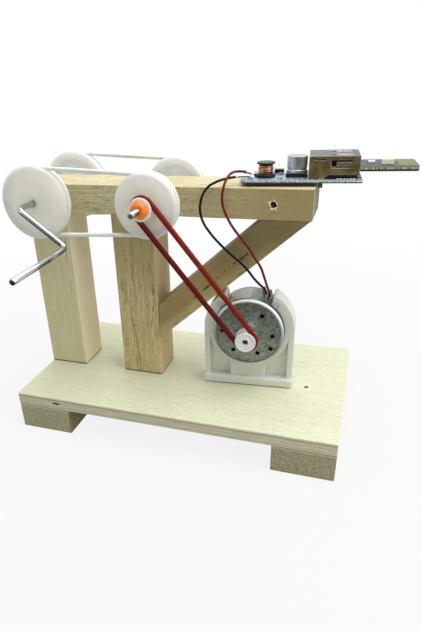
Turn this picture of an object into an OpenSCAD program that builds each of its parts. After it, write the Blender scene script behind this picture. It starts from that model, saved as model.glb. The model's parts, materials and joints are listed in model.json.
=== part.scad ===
// Hand crank generator: a wooden bench frame, two belt stages, a small motor and a lamp stick.
// Lengths are millimetres. The bench is laid out from its left front corner on the table,
// and placed() then moves every piece so that the origin is under the middle of the whole.

/* [Base] */
// Length of the plywood base, left to right
base_l = 115; // [105:1:140]
// Depth of the plywood base, front to back
base_d = 65; // [56:1:90]
// Thickness of the plywood base
base_t = 4.5; // [3:0.5:9]
// Width of each foot strip
foot_w = 20.5; // [12:0.5:30]
// Height of each foot strip
foot_h = 10.2; // [6:0.1:18]
// Radius of the pilot hole in the base
pilot_r = 0.8; // [0.5:0.1:2]
// Distance of the pilot hole from the right end of the base
pilot_from_right = 13.5; // [8:0.5:17]
// Distance of the pilot hole from the front of the base
pilot_from_front = 31.5; // [10:0.5:50]
// Rounding of the base's two back corners
base_round = 1.8; // [0.5:0.1:3]

/* [Frame] */
// Width of each post, left to right
post_w = 15.4; // [12:0.1:17]
// Depth of each post, front to back
post_d = 14.5; // [10:0.5:18]
// Height of the posts above the base
post_h = 61.3; // [60.2:0.1:75]
// Clear space between the two posts
post_gap = 16.9; // [14:0.1:19]
// Distance from the front of the base to the front of the frame
frame_set_back = 26.4; // [24:0.1:28]
// Length of the top beam
beam_l = 99.4; // [96:0.1:106]
// Height of the top beam
beam_h = 9.4; // [7:0.1:14]
// Depth of the top beam, front to back
beam_d = 18; // [15:0.5:24]
// Thickness of the diagonal brace
brace_t = 10; // [6:0.5:11]
// Depth of the diagonal brace, front to back
brace_d = 12; // [8:0.5:18]
// Slope of the diagonal brace above the horizontal, in degrees
brace_slope = 41.7; // [40:0.1:43]
// Distance of the brace's lower end edge from the right end of the beam
brace_inset = 0.3; // [0:0.1:2]

/* [Axles and wheels] */
// Radius of the crank rod and of the drive axle
rod_r = 1; // [0.8:0.05:1.4]
// Running clearance of an axle in its hole, on the radius
axle_clear = 0.05; // [0.02:0.01:0.1]
// Distance of the first axle hole from the left end of the beam
first_hole = 8; // [7:0.1:11]
// Distance from the first axle hole to the second
hole_pitch = 40.5; // [38:0.1:43]
// Distance from the second axle hole to the spare one
spare_pitch = 39.1; // [36:0.1:42]
// Outer radius of the two wheels on the crank
crank_wheel_r = 12.4; // [10.5:0.1:14]
// Outer radius of the two wheels on the drive axle
driven_wheel_r = 10.6; // [9:0.1:12]
// Width of a wheel across its rim
wheel_w = 4.6; // [4:0.1:6]
// Space between a wheel and the beam
wheel_gap = 4.1; // [2:0.1:4.5]
// Depth of the belt groove in a wheel
groove_depth = 2; // [0.8:0.1:2.4]
// Width of the rim round the recess in a wheel's inner face
rim_w = 3; // [2:0.1:4]
// Depth of the recess in a wheel's inner face
recess_depth = 1.6; // [0.5:0.1:2.2]
// Radius of a wheel's hub boss
hub_r = 3.2; // [2.4:0.1:4]
// Rounding of a wheel's rim
wheel_round = 0.8; // [0.3:0.1:1.2]
// How far an axle stands out behind the rear wheel
axle_tail = 1.2; // [0.5:0.1:4]
// Distance from the front of the front wheel to the crank's first bend
crank_reach = 8.5; // [6:0.1:16]
// Length of the crank arm between the two bends, on the rod's centre line
crank_arm = 20; // [14:0.1:24]
// Length of the crank handle
crank_handle = 31.6; // [20:0.1:45]
// Slope of the crank arm at rest, in degrees
crank_angle = -37.2; // [-180:0.1:180]
// Bend radius of the crank rod's centre line
bend_r = 2.2; // [1.6:0.1:3.5]
// How far the drive axle stands out in front of the stop collar
axle_nose = 5.4; // [2:0.1:8]
// Outer radius of the stop collar
collar_r = 3; // [2:0.1:3.4]
// Length of the stop collar
collar_w = 2.1; // [1:0.1:3]

/* [Belts] */
// Side of the square section of the white belts
white_belt = 1.35; // [0.8:0.05:2]
// Side of the square section of the red drive belt
red_belt = 1.45; // [1:0.05:1.9]
// Clearance between a belt and its groove
belt_clear = 0.2; // [0.1:0.05:0.4]
// Flange radius of the two small pulleys
pulley_r = 3.75; // [3.2:0.05:5]
// Radius at the bottom of a small pulley's groove
pulley_groove_r = 2.5; // [1.8:0.05:3]
// Width of a small pulley's groove
pulley_groove_w = 2.6; // [2.5:0.1:3.6]
// Thickness of a small pulley's flange
pulley_flange = 0.5; // [0.4:0.1:1.2]

/* [Motor] */
// Radius of the motor can
can_r = 12.2; // [11.6:0.1:12.4]
// Length of the motor can
can_l = 12.3; // [11.5:0.1:15]
// Wall of the motor can
can_wall = 0.8; // [0.5:0.1:1.2]
// Rounding of the can's front edge
can_round = 0.9; // [0.3:0.1:1.5]
// Radius of the motor shaft
shaft_r = 1; // [0.7:0.05:1.3]
// Height of the motor's axis above the base
motor_rise = 22.15; // [21.5:0.05:23]
// Distance of the motor's axis from the right end of the beam
motor_from_end = 18.55; // [17:0.05:19.5]
// Distance of the motor's front centre in front of the frame
motor_forward = 0.6; // [0:0.1:2]
// Turn of the motor and its bracket about the vertical, in degrees
motor_yaw = 5; // [0:0.5:6]
// Distance from the motor's front to the middle of its pulley
pulley_reach = 6; // [5:0.1:8]
// Width of the motor bracket
bracket_w = 31.6; // [30.5:0.1:31.8]
// Depth of the motor bracket's ring, front to back
bracket_d = 7.3; // [6.5:0.1:10]
// Distance from the motor's front to the front of the bracket's ring
bracket_set_back = 2.6; // [1.8:0.1:4]
// Clearance between the can and the bracket's ring
can_clear = 0.1; // [0.05:0.05:0.3]
// Height of the bracket's rounded front lip
lip_h = 3; // [2:0.1:4]
// How far the lip stands in front of the ring
lip_out = 1.2; // [0.6:0.1:2]
// Width of the bracket's middle rib
rib_w = 12.4; // [8:0.1:16]
// Wall of the bracket round its two panels
panel_wall = 2; // [1.2:0.1:2.4]
// Depth of the two panels below the ring's front
panel_depth = 1.8; // [0.5:0.1:4]
// Width of the opening between the bracket's two horns
mouth_w = 15.8; // [12:0.1:18]
// Rounding of a horn's tip
horn_round = 1; // [0.5:0.1:1.5]
// Thickness of the mounting tape under the bracket
bracket_tape_t = 0.5; // [0.3:0.1:1]

/* [Circuit board] */
// Length of the circuit board
board_l = 36; // [33.5:0.5:38]
// Width of the circuit board
board_w = 16; // [15:0.5:20]
// Rounding of the circuit board's two left corners
board_round = 2; // [0.5:0.1:4]
// Thickness of the circuit board
board_t = 1; // [0.8:0.1:1.6]
// How far the middle of the board's right end stands out past the beam
board_overhang = 12.2; // [11:0.1:14]
// Distance from the front of the frame to the middle of the board
board_set_back = 11.8; // [9:0.1:13]
// Turn of the board about the vertical, in degrees
board_yaw = 6; // [0:0.5:7]
// Thickness of the mounting tape under the board
board_tape_t = 1; // [0.5:0.1:1.5]
// Length of the socket shell
socket_l = 14.6; // [14:0.1:15.2]
// Width of the socket shell
socket_w = 13.2; // [13.2:0.1:13.8]
// Height of the socket shell
socket_h = 5.5; // [5.4:0.1:6.4]
// Sheet thickness of the socket shell
socket_wall = 0.35; // [0.2:0.05:0.4]
// Length of the lamp stick
stick_l = 28; // [27:0.5:36]
// Width of the lamp stick
stick_w = 11.9; // [10:0.1:12]
// Thickness of the lamp stick
stick_t = 1.6; // [1.2:0.1:1.7]
// How deep the lamp stick sits in the socket
stick_in = 11.6; // [9:0.1:12.4]
// Radius of the inductor's base flange
inductor_r = 3; // [2.6:0.1:3.2]
// Height of the inductor
inductor_h = 4.5; // [4.5:0.1:5.5]
// Diameter of the inductor's winding wire
coil_wire = 0.3; // [0.2:0.05:0.3]
// Number of turns that show on the inductor
coil_turns = 3; // [2:1:3]
// Radius of the capacitor can
capacitor_r = 3.1; // [2.5:0.1:3.2]
// Height of the capacitor above the board
capacitor_h = 6; // [4.5:0.1:8]

/* [Wires] */
// Diameter of the two motor wires
wire_d = 0.8; // [0.6:0.1:1.2]

/* [Hidden] */
$fn = 64;
over = 1;               // how far a cut runs past a face
press_gap = 0.02;       // gap of a pressed fit, on the radius
run_gap = 0.3;          // gap between a turning face and a fixed face

// Heights above the table
base_top = foot_h + base_t;
beam_z = base_top + post_h;
beam_top = beam_z + beam_h;
axle_z = beam_z + beam_h / 2;
motor_z = base_top + motor_rise;
board_top = beam_top + board_tape_t + board_t;

// Places along the bench
right_post_x = post_w + post_gap;
brace_x0 = right_post_x + post_w;
brace_x1 = beam_l - brace_inset;
crank_x = first_hole;
drive_x = first_hole + hole_pitch;
spare_x = drive_x + spare_pitch;
beam_back = frame_set_back + beam_d;
front_wheel_y = frame_set_back - wheel_gap - wheel_w;
rear_wheel_y = beam_back + wheel_gap + wheel_w;
axle_back_y = rear_wheel_y + axle_tail;
crank_y = front_wheel_y - crank_reach;
handle_end_y = crank_y - crank_handle;
wheel_boss = wheel_gap - run_gap;

// Small pulleys, stop collar and the red belt's run between the two pulley middles
pulley_w = pulley_groove_w + 2 * pulley_flange;
drive_pulley_y = front_wheel_y - press_gap - pulley_w / 2;
collar_y = drive_pulley_y - pulley_w / 2 - press_gap - collar_w;
axle_nose_y = collar_y - axle_nose;
motor_x = beam_l - motor_from_end;
motor_y = frame_set_back - motor_forward;
drive_point = [drive_x, drive_pulley_y, axle_z];
motor_point = [motor_x + pulley_reach * sin(motor_yaw), motor_y - pulley_reach * cos(motor_yaw), motor_z];
red_run = motor_point - drive_point;
red_drop = atan2(-red_run.z, red_run.x);
red_lean = atan2(red_run.y, norm([red_run.x, red_run.z]));

// Circuit board, socket and stick in the board's own axes: x to the right, z up from its top face
board_x = beam_l + board_overhang - board_l / 2 * cos(board_yaw);
board_y = frame_set_back + board_set_back;
socket_set_in = 1;
socket_x1 = board_l / 2 - socket_set_in;
socket_x0 = socket_x1 - socket_l;
socket_z = 1;
spring_rise = 0.65;
socket_floor = socket_z + socket_wall;
socket_roof = socket_z + socket_h - socket_wall;
stick_z = socket_floor + spring_rise;
stick_x0 = socket_x1 - stick_in;
stick_x1 = stick_x0 + stick_l;
stick_top = stick_z + stick_t;

// Where the beam ends under the board at a place y, and where a leg of the socket passes it
function beam_end(y) = (beam_l - board_x + y * sin(board_yaw)) / cos(board_yaw);
leg_w = 1.4;
leg_out = 1.6;
function leg_x(y) = max(socket_x0 + leg_w, beam_end(y) + run_gap);
skirt_l = 4.9;
skirt_z = 0.3;
tape_inset = 0.7;
tape_back_inset = 4;

// Socket windows with their springs, the tongue and the contacts on both sides
socket_lip = 1.5;
window_x0 = socket_x0 + 6.4;
window_x1 = socket_x1 - 2.2;
window_w = 2.2;
window_rise = 0.45;
spring_gap = 1.5;
spring_w = 1.2;
spring_ys = [-3.4, 3.4];
crest_x = window_x1 - 2;
tongue_w = 10;
contact_t = 0.12;
contact_w = 1;
contact_ys = [-3.5, -1.2, 1.2, 3.5];
contact_x1 = socket_x1 - 2.5;
pad_t = 0.05;
contact_z = stick_top + pad_t + axle_clear;

// Middle of the whole, seen from above
belt_reach = crank_wheel_r - groove_depth + belt_clear + white_belt;
reach_left = min(0, crank_x - max(crank_wheel_r, belt_reach));
reach_right = max(base_l, board_x + stick_x1 * cos(board_yaw) + stick_w / 2 * sin(board_yaw));
centre_x = (reach_left + reach_right) / 2;
centre_y = (min(0, handle_end_y) + max(base_d, axle_back_y)) / 2;

// Motor insides, in the motor's own axes: y from the front face to the back
boss_r = 3.35;
boss_l = 1.4;
bush_r = 2;
face_t = 1;
cap_t = 1.5;
vent_r = 0.8;
// Distance of each vent from the motor's axis, and its angle
vent_rings = [7.8, 8.4, 9.9, 8.6, 8.8, 9];
vent_angles = [54, -7, -36.5, -66, -125, 180];
core_y0 = 3.4;
core_y1 = 7.6;
magnet_t = 1.9;
air_gap = 0.4;
core_r = can_r - can_wall - magnet_t - air_gap;
commutator_r = 2.2;
commutator_y1 = can_l - cap_t - run_gap;
lip_share = 0.9;        // how much of the lip's depth its rounding takes
label_from = 88;
label_sweep = 36;
label_t = 0.12;
label_y = 1.8;
magnet_over = 0.8;
bush_in = 1;
bush_out = 0.6;
brush_t = 0.4;
brush_l = 1.6;
brush_w = 2;
pole_w = 2.6;
pole_hub = 3.2;
shoe_t = 1.2;
shoe_half = 50;
coil_t = 0.7;
pole_angles = [90, 210, 330];
lug_w = 1.8;
lug_t = 0.5;
lug_spots = [[3.6, 7.9], [6.4, 7.2]];
lug_out = 3;

// Routes of the two wires, from a bead of solder on the board to a lug of the motor
black_route = [
    [79.76, 31, 88.2], [77, 30.5, 88.3], [74.5, 29.5, 88.1], [72, 28, 87.8], [69.5, 26.5, 87.1],
    [67.5, 25.2, 86], [66, 24.4, 84], [65.2, 24, 81.5], [65, 24, 78.5], [66, 24, 75], [68, 24, 72],
    [70.2, 24, 69.5], [72.8, 24, 67], [75.6, 24, 64.6], [78.2, 24, 62.5], [80.4, 24.4, 60.2],
    [82.5, 25, 57.2], [84.2, 26.4, 54.7], [85.5, 28.2, 52.6], [85.6, 30.6, 50.8], [85.5, 32.1, 49.4],
    [85.2, 33.7, 48.8], [84.7, 35.5, 48.9], [84.3, 37.2, 49], [83.8, 38.9, 48.8], [83.4, 40.1, 47.8],
    [83.2, 40.6, 46.7], [83.18, 40.46, 45.4]
];
red_route = [
    [79.26, 35.77, 88.2], [76.6, 35, 88.8], [74.8, 33, 89.2], [73.8, 30.4, 89.3], [73.2, 28, 88.8],
    [72.6, 26, 87.3], [72.2, 24.8, 85.2], [72, 24.4, 82.6], [72.4, 24.4, 80], [73.6, 24.4, 77],
    [75.2, 24.4, 74.2], [77, 24.4, 71.8], [79, 24.4, 69.4], [81, 24.4, 67], [82.6, 24.4, 64.4],
    [84.7, 24.5, 61.3], [85.4, 25.2, 59], [86, 26.2, 56.5], [86.5, 27.4, 54], [87, 28.6, 51.8],
    [87, 30.6, 50], [86.9, 31.8, 48.7], [86.7, 33.6, 48], [86.4, 35.6, 48], [86.1, 37.5, 48],
    [86, 39.1, 47.8], [86, 40.3, 46.8], [86, 40.8, 45.8], [85.98, 40.71, 44.7]
];
wire_sides = 8;
wire_sunk = 0.4;        // height of a wire's end above the middle of its bead on the lug
wire_rise = 0.8;        // height of a wire's end above the board

// Frames of the bench, the motor and the circuit board
module placed() translate([-centre_x, -centre_y, 0]) children();
module in_motor() placed() translate([motor_x, motor_y, motor_z]) rotate([0, 0, motor_yaw]) children();
module in_board() placed() translate([board_x, board_y, board_top]) rotate([0, 0, board_yaw]) children();

// A flat outline in x and z, from y0 to y0 + depth
module upright(y0, depth) translate([0, y0 + depth, 0]) rotate([90, 0, 0]) linear_extrude(depth) children();
// A profile in radius and y, turned round the y axis
module turned() rotate([-90, 0, 0]) rotate_extrude() children();
// A round bar along y
module bar(r, y0, y1) translate([0, y0, 0]) rotate([-90, 0, 0]) cylinder(r = r, h = y1 - y0);
// A ring along y
module ring(r_out, r_in, y0, y1) difference() {
    bar(r_out, y0, y1);
    bar(r_in, y0 - over, y1 + over);
}
// A block from its lowest to its highest corner
module block(low, high) translate(low) cube(high - low);

// Points of a belt round two circles, which lie d apart along x, at an offset from both
function belt_loop(r1, r2, d, step = 5) =
    let (a = acos((r1 - r2) / d), n1 = ceil((360 - 2 * a) / step), n2 = ceil(2 * a / step))
    concat(
        [for (i = [0:n1]) let (t = a + (360 - 2 * a) * i / n1) r1 * [cos(t), sin(t)]],
        [for (i = [0:n2]) let (t = -a + 2 * a * i / n2) [d, 0] + r2 * [cos(t), sin(t)]]
    );
module belt_outline(r1, r2, d, t) difference() {
    polygon(belt_loop(r1 + t, r2 + t, d));
    polygon(belt_loop(r1, r2, d));
}

// Rings of a tube along a route, carried from point to point without twist
function unit(v) = v / norm(v);
function heading(p, i) = unit(p[min(i + 1, len(p) - 1)] - p[max(i - 1, 0)]);
function carried(v, t) = unit(v - (v * t) * t);
function sideways(p, i) = i == 0
    ? let (t = heading(p, 0)) carried(abs(t.z) < 0.8 ? [0, 0, 1] : [1, 0, 0], t)
    : carried(sideways(p, i - 1), heading(p, i));
function tube_points(p, r, n) = [
    for (i = [0:len(p) - 1]) let (t = heading(p, i), u = sideways(p, i), v = cross(t, u))
        for (k = [0:n - 1]) p[i] + r * (cos(360 * k / n) * u + sin(360 * k / n) * v)
];
function tube_faces(m, n) = concat(
    [for (k = [1:n - 2]) [0, k, k + 1]],
    [for (i = [0:m - 2]) for (k = [0:n - 1]) [i * n + k, (i + 1) * n + k, i * n + (k + 1) % n]],
    [for (i = [0:m - 2]) for (k = [0:n - 1])
        [i * n + (k + 1) % n, (i + 1) * n + k, (i + 1) * n + (k + 1) % n]],
    [for (k = [1:n - 2]) [(m - 1) * n, (m - 1) * n + k + 1, (m - 1) * n + k]]
);
module tube(p, r, n) polyhedron(tube_points(p, r, n), tube_faces(len(p), n));

// Wooden frame

module base_board() color("wheat") placed() difference() {
    union() {
        block([0, 0, foot_h], [base_l, base_d - base_round, base_top]);
        block([base_round, 0, foot_h], [base_l - base_round, base_d, base_top]);
        for (x = [base_round, base_l - base_round]) translate([x, base_d - base_round, foot_h])
            cylinder(r = base_round, h = base_t);
    }
    translate([base_l - pilot_from_right, pilot_from_front, foot_h - over])
        cylinder(r = pilot_r, h = base_t + 2 * over);
}
module foot(x) placed() block([x, 0, 0], [x + foot_w, base_d, foot_h]);
module foot_left() color("burlywood") foot(0);
module foot_right() color("burlywood") foot(base_l - foot_w);

module post(x) placed() block([x, frame_set_back, base_top], [x + post_w, frame_set_back + post_d, beam_z]);
module post_left() color("burlywood") post(0);
module post_right() color("burlywood") post(right_post_x);

module top_beam() color("burlywood") placed() difference() {
    block([0, frame_set_back, beam_z], [beam_l, beam_back, beam_top]);
    for (x = [crank_x, drive_x, spare_x])
        translate([x, 0, axle_z]) bar(rod_r + axle_clear, frame_set_back - over, beam_back + over);
}

// The brace is mitred to the right post's side and to the underside of the beam
module diagonal_brace() color("tan") {
    fall = (brace_x1 - brace_x0) * tan(brace_slope);
    across = brace_t / sin(brace_slope);
    low_z = beam_z - fall;
    placed() upright(frame_set_back, brace_d) polygon([
        [brace_x0, low_z], [brace_x1, beam_z], [brace_x1 - across, beam_z],
        [brace_x0, beam_z - (brace_x1 - across - brace_x0) * tan(brace_slope)]
    ]);
}

// Wheels, axles and the crank

module wheel_profile(r) {
    belt_w = white_belt + 2 * belt_clear;
    difference() {
        union() {
            translate([rod_r + press_gap, 0]) square([r - wheel_round - rod_r - press_gap, wheel_w]);
            translate([hub_r, wheel_round]) square([r - hub_r, wheel_w - 2 * wheel_round]);
            for (w = [wheel_round, wheel_w - wheel_round]) translate([r - wheel_round, w])
                circle(wheel_round);
        }
        polygon([
            [r - groove_depth, (wheel_w - belt_w) / 2], [r + over, (wheel_w - belt_w) / 2 - over / 2],
            [r + over, (wheel_w + belt_w) / 2 + over / 2], [r - groove_depth, (wheel_w + belt_w) / 2]
        ]);
        translate([hub_r, wheel_w - recess_depth]) square([r - rim_w - hub_r, recess_depth + over]);
    }
    translate([rod_r + press_gap, wheel_w - recess_depth])
        square([hub_r - rod_r - press_gap, recess_depth + wheel_boss]);
}
module front_wheel(x, r) placed() translate([x, front_wheel_y, axle_z]) turned() wheel_profile(r);
module rear_wheel(x, r) placed() translate([x, rear_wheel_y, axle_z]) mirror([0, 1, 0])
    turned() wheel_profile(r);
module crank_wheel_front() color("whitesmoke") front_wheel(crank_x, crank_wheel_r);
module crank_wheel_rear() color("whitesmoke") rear_wheel(crank_x, crank_wheel_r);
module driven_wheel_front() color("whitesmoke") front_wheel(drive_x, driven_wheel_r);
module driven_wheel_rear() color("whitesmoke") rear_wheel(drive_x, driven_wheel_r);

// A quarter bend from the -y direction into the +x direction, starting at the origin
module bend() translate([bend_r, 0, 0]) rotate([0, 0, 180]) rotate_extrude(angle = 90)
    translate([bend_r, 0]) circle(rod_r);
module crank_rod() color("silver") placed() translate([crank_x, 0, axle_z]) rotate([0, -crank_angle, 0]) {
    bar(rod_r, crank_y + bend_r, axle_back_y);
    translate([0, crank_y + bend_r, 0]) bend();
    translate([bend_r, crank_y, 0]) rotate([0, 90, 0]) cylinder(r = rod_r, h = crank_arm - 2 * bend_r);
    translate([crank_arm, crank_y - bend_r, 0]) rotate([0, 0, 180]) bend();
    translate([crank_arm, 0, 0]) bar(rod_r, handle_end_y, crank_y - bend_r);
}

module drive_axle() color("silver") placed() translate([drive_x, 0, axle_z])
    bar(rod_r, axle_nose_y, axle_back_y);
module small_pulley(bore) turned() difference() {
    translate([bore + press_gap, -pulley_w / 2]) square([pulley_r - bore - press_gap, pulley_w]);
    translate([pulley_groove_r, -pulley_groove_w / 2]) square([pulley_r, pulley_groove_w]);
}
module drive_pulley() color("white") placed() translate(drive_point) small_pulley(rod_r);
module stop_collar() color("darkorange") placed() translate([drive_x, 0, axle_z])
    ring(collar_r, rod_r + press_gap, collar_y, collar_y + collar_w);

// Belts

module white_belt_at(y) {
    r1 = crank_wheel_r - groove_depth + belt_clear;
    r2 = driven_wheel_r - groove_depth + belt_clear;
    placed() translate([crank_x, 0, axle_z]) upright(y - white_belt / 2, white_belt)
        belt_outline(r1, r2, hole_pitch, white_belt);
}
module front_belt() color("white") white_belt_at(front_wheel_y + wheel_w / 2);
module rear_belt() color("white") white_belt_at(rear_wheel_y - wheel_w / 2);

// The drive belt leans a little, because the motor stands further back than the drive pulley
module drive_belt() color("firebrick") {
    r = pulley_groove_r + belt_clear;
    placed() translate(drive_point) rotate([0, red_drop, 0]) rotate([0, 0, red_lean])
        upright(-red_belt / 2, red_belt) belt_outline(r, r, norm(red_run), red_belt);
}

// Motor bracket

module bracket_outline() {
    half = bracket_w / 2;
    foot_z = bracket_tape_t - motor_rise;
    tip_x = mouth_w / 2 + horn_round;
    tip_z = sqrt(pow(half - horn_round, 2) - tip_x * tip_x);
    difference() {
        union() {
            difference() {
                circle(half);
                polygon([[0, 0], 2 * [tip_x, tip_z], [0, 2 * half], 2 * [-tip_x, tip_z]]);
            }
            translate([-half, foot_z]) square([bracket_w, -foot_z]);
            for (side = [0, 1]) mirror([side, 0]) {
                translate([tip_x, tip_z]) circle(horn_round);
                translate([mouth_w / 2, 0]) square([horn_round, tip_z]);
            }
        }
        circle(can_r + can_clear);
    }
}
module bracket_panels() {
    half = bracket_w / 2;
    low = bracket_tape_t - motor_rise + lip_h;
    difference() {
        for (side = [0, 1]) mirror([side, 0]) translate([rib_w / 2, low])
            square([half - panel_wall - rib_w / 2, -low]);
        circle(can_r + can_clear + panel_wall);
    }
}
module motor_bracket() color("ghostwhite") in_motor() {
    half = bracket_w / 2;
    foot_z = bracket_tape_t - motor_rise;
    lip_y = bracket_set_back - lip_out;
    lip_round = lip_share * min(lip_out, lip_h);
    difference() {
        upright(bracket_set_back, bracket_d) bracket_outline();
        upright(bracket_set_back - over, panel_depth + over) bracket_panels();
    }
    block([-half, lip_y + lip_round, foot_z], [half, bracket_set_back, foot_z + lip_h]);
    block([-half, lip_y, foot_z], [half, lip_y + lip_round, foot_z + lip_h - lip_round]);
    translate([-half, lip_y + lip_round, foot_z + lip_h - lip_round]) rotate([0, 90, 0])
        cylinder(r = lip_round, h = bracket_w);
}
module bracket_tape() color("dimgray") in_motor()
    block([tape_inset - bracket_w / 2, bracket_set_back - lip_out + tape_inset, -motor_rise],
        [bracket_w / 2 - tape_inset, bracket_set_back + bracket_d - tape_inset,
            bracket_tape_t - motor_rise]);

// Motor

module motor_can() color("lightslategray") in_motor() difference() {
    union() {
        turned() {
            translate([0, can_round]) square([can_r, can_l - can_round]);
            square([can_r - can_round, can_l]);
            translate([can_r - can_round, can_round]) circle(can_round);
        }
        bar(boss_r, -boss_l, face_t);
    }
    bar(can_r - can_wall, face_t, can_l + over);
    bar(bush_r + press_gap, -boss_l - over, can_l);
    for (i = [0:len(vent_rings) - 1]) rotate([0, -vent_angles[i], 0]) translate([vent_rings[i], 0, 0])
        bar(vent_r, -over, face_t + over);
}
module motor_label() color("silver") in_motor() rotate([0, -label_from, 0]) rotate([90, 0, 0])
    mirror([0, 0, 1]) rotate_extrude(angle = label_sweep) translate([can_r + press_gap, label_y])
        square([label_t, can_l - 2 * label_y]);
module motor_front_bush() color("goldenrod") in_motor()
    ring(bush_r, shaft_r + axle_clear, -boss_l, face_t + bush_in);
module motor_magnet() color("dimgray") in_motor()
    ring(can_r - can_wall - press_gap, core_r + air_gap, core_y0 - magnet_over, core_y1 + magnet_over);
module motor_end_cap() color("gainsboro") in_motor() difference() {
    bar(can_r - can_wall - press_gap, can_l - cap_t, can_l);
    bar(bush_r + press_gap, can_l - cap_t - over, can_l + over);
    for (s = lug_spots)
        block([s.x - lug_w / 2 - press_gap, can_l - cap_t - over, s.y - lug_t / 2 - press_gap],
            [s.x + lug_w / 2 + press_gap, can_l + over, s.y + lug_t / 2 + press_gap]);
}
module motor_rear_bush() color("goldenrod") in_motor()
    ring(bush_r, shaft_r + axle_clear, can_l - cap_t, can_l + bush_out);
// Each lug carries a bead of solder, in which a wire ends
module motor_terminals() color("silver") in_motor() for (s = lug_spots) {
    block([s.x - lug_w / 2, can_l - cap_t, s.y - lug_t / 2],
        [s.x + lug_w / 2, can_l + lug_out, s.y + lug_t / 2]);
    translate([s.x, can_l + lug_out - lug_w / 2, s.y + lug_t / 2]) sphere(lug_w / 2);
}
// The two brush springs hang from the end cap, one on each side of the commutator
module motor_brushes() color("peru") in_motor() for (side = [-1, 1]) {
    near = side * (commutator_r + axle_clear);
    far = near + side * brush_t;
    block([min(near, far), commutator_y1 - brush_l, -brush_w / 2],
        [max(near, far), can_l - cap_t, brush_w / 2]);
}

// The rotor turns in the two bushes: shaft, three-pole core, coils, commutator and pulley

module motor_shaft() color("silver") in_motor()
    bar(shaft_r, pulley_flange - pulley_reach - pulley_w / 2, can_l + bush_out + run_gap);
module pole_outline() difference() {
    union() {
        circle(pole_hub);
        for (a = pole_angles) rotate(a) translate([0, -pole_w / 2]) square([core_r - shoe_t / 2, pole_w]);
        intersection() {
            difference() {
                circle(core_r);
                circle(core_r - shoe_t);
            }
            for (a = pole_angles) rotate(a) polygon([
                [0, 0], 2 * core_r * [cos(shoe_half), -sin(shoe_half)],
                2 * core_r * [cos(shoe_half), sin(shoe_half)]
            ]);
        }
    }
    circle(shaft_r + press_gap);
}
module rotor_core() color("slategray") in_motor() upright(core_y0, core_y1 - core_y0) pole_outline();
module rotor_windings() color("chocolate") in_motor() for (a = pole_angles) rotate([0, -a, 0]) {
    x0 = pole_hub + coil_t;
    x1 = core_r - shoe_t - run_gap;
    difference() {
        block([x0, core_y0 - coil_t, -pole_w / 2 - coil_t], [x1, core_y1 + coil_t, pole_w / 2 + coil_t]);
        block([x0 - over, core_y0 - press_gap, -pole_w / 2 - press_gap],
            [x1 + over, core_y1 + press_gap, pole_w / 2 + press_gap]);
    }
}
module commutator() color("peru") in_motor()
    ring(commutator_r, shaft_r + press_gap, core_y1 + press_gap, commutator_y1);
module motor_pulley() color("white") in_motor() translate([0, -pulley_reach, 0]) small_pulley(shaft_r);

// Circuit board with its parts

module leg_slots(gap) for (side = [-1, 1]) {
    y0 = side * (socket_w / 2 - socket_wall / 2);
    x0 = leg_x(y0);
    block([x0 - gap, y0 - socket_wall / 2 - gap, -board_t - leg_out],
        [x0 + leg_w + gap, y0 + socket_wall / 2 + gap, socket_floor]);
}
module circuit_board() color("steelblue") in_board() difference() {
    union() {
        block([board_round - board_l / 2, -board_w / 2, -board_t], [board_l / 2, board_w / 2, 0]);
        block([-board_l / 2, board_round - board_w / 2, -board_t], [0, board_w / 2 - board_round, 0]);
        for (side = [-1, 1]) translate([board_round - board_l / 2, side * (board_w / 2 - board_round), -board_t])
            cylinder(r = board_round, h = board_t);
    }
    leg_slots(press_gap);
}
// The tape lies on the beam's top, under the board and clear of its end
module board_tape() color("black") in_board()
    block([board_round - board_l / 2, tape_inset - board_w / 2, -board_t - board_tape_t],
        [beam_end(-board_w / 2) - tape_inset, board_w / 2 - tape_back_inset, -board_t]);

// Cuts through both side walls of the shell
module side_windows(x0, x1, z0, z1) for (side = [-1, 1])
    block([x0, side * socket_w / 2 - socket_wall - over, z0],
        [x1, side * socket_w / 2 + socket_wall + over, z1]);
module usb_shell() color("silver") in_board() {
    half = socket_w / 2;
    top_z = socket_z + socket_h;
    mid_z = socket_z + socket_h / 2 + window_rise;
    spring_x = window_x0 + spring_gap;
    difference() {
        block([socket_x0, -half, socket_z], [socket_x1, half, top_z]);
        block([socket_x0 + socket_wall, socket_wall - half, socket_floor],
            [socket_x1 + over, half - socket_wall, socket_roof]);
        side_windows(window_x0, window_x1, mid_z - window_w / 2, mid_z + window_w / 2);
        side_windows(socket_x0 + socket_lip, window_x0 - socket_lip, mid_z + window_w / 2,
            mid_z + window_w / 2 + socket_wall);
        for (y = spring_ys) block([window_x0, y - window_w / 2, socket_roof - over],
            [window_x1, y + window_w / 2, top_z + over]);
    }
    // The rear of each side reaches down to the board
    for (side = [-1, 1]) block([socket_x0, side > 0 ? half - socket_wall : -half, skirt_z],
        [socket_x0 + skirt_l, side > 0 ? half : socket_wall - half, socket_floor]);
    // Side springs and roof springs, each in its window
    for (side = [-1, 1]) block([spring_x, side > 0 ? half - socket_wall : -half, mid_z - spring_w / 2],
        [window_x1, side > 0 ? half : socket_wall - half, mid_z + spring_w / 2]);
    for (y = spring_ys)
        block([spring_x, y - spring_w / 2, socket_roof], [window_x1, y + spring_w / 2, top_z]);
    // Bent floor springs that carry the stick
    for (y = spring_ys) upright(y - spring_w / 2, spring_w) polygon([
        [spring_x, socket_floor], [spring_x + socket_wall, socket_floor],
        [crest_x, stick_z - axle_clear - socket_wall], [window_x1 - socket_wall, socket_floor],
        [window_x1, socket_floor], [crest_x + socket_wall, stick_z - axle_clear],
        [crest_x - socket_wall, stick_z - axle_clear]
    ]);
    leg_slots(0);
}
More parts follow.
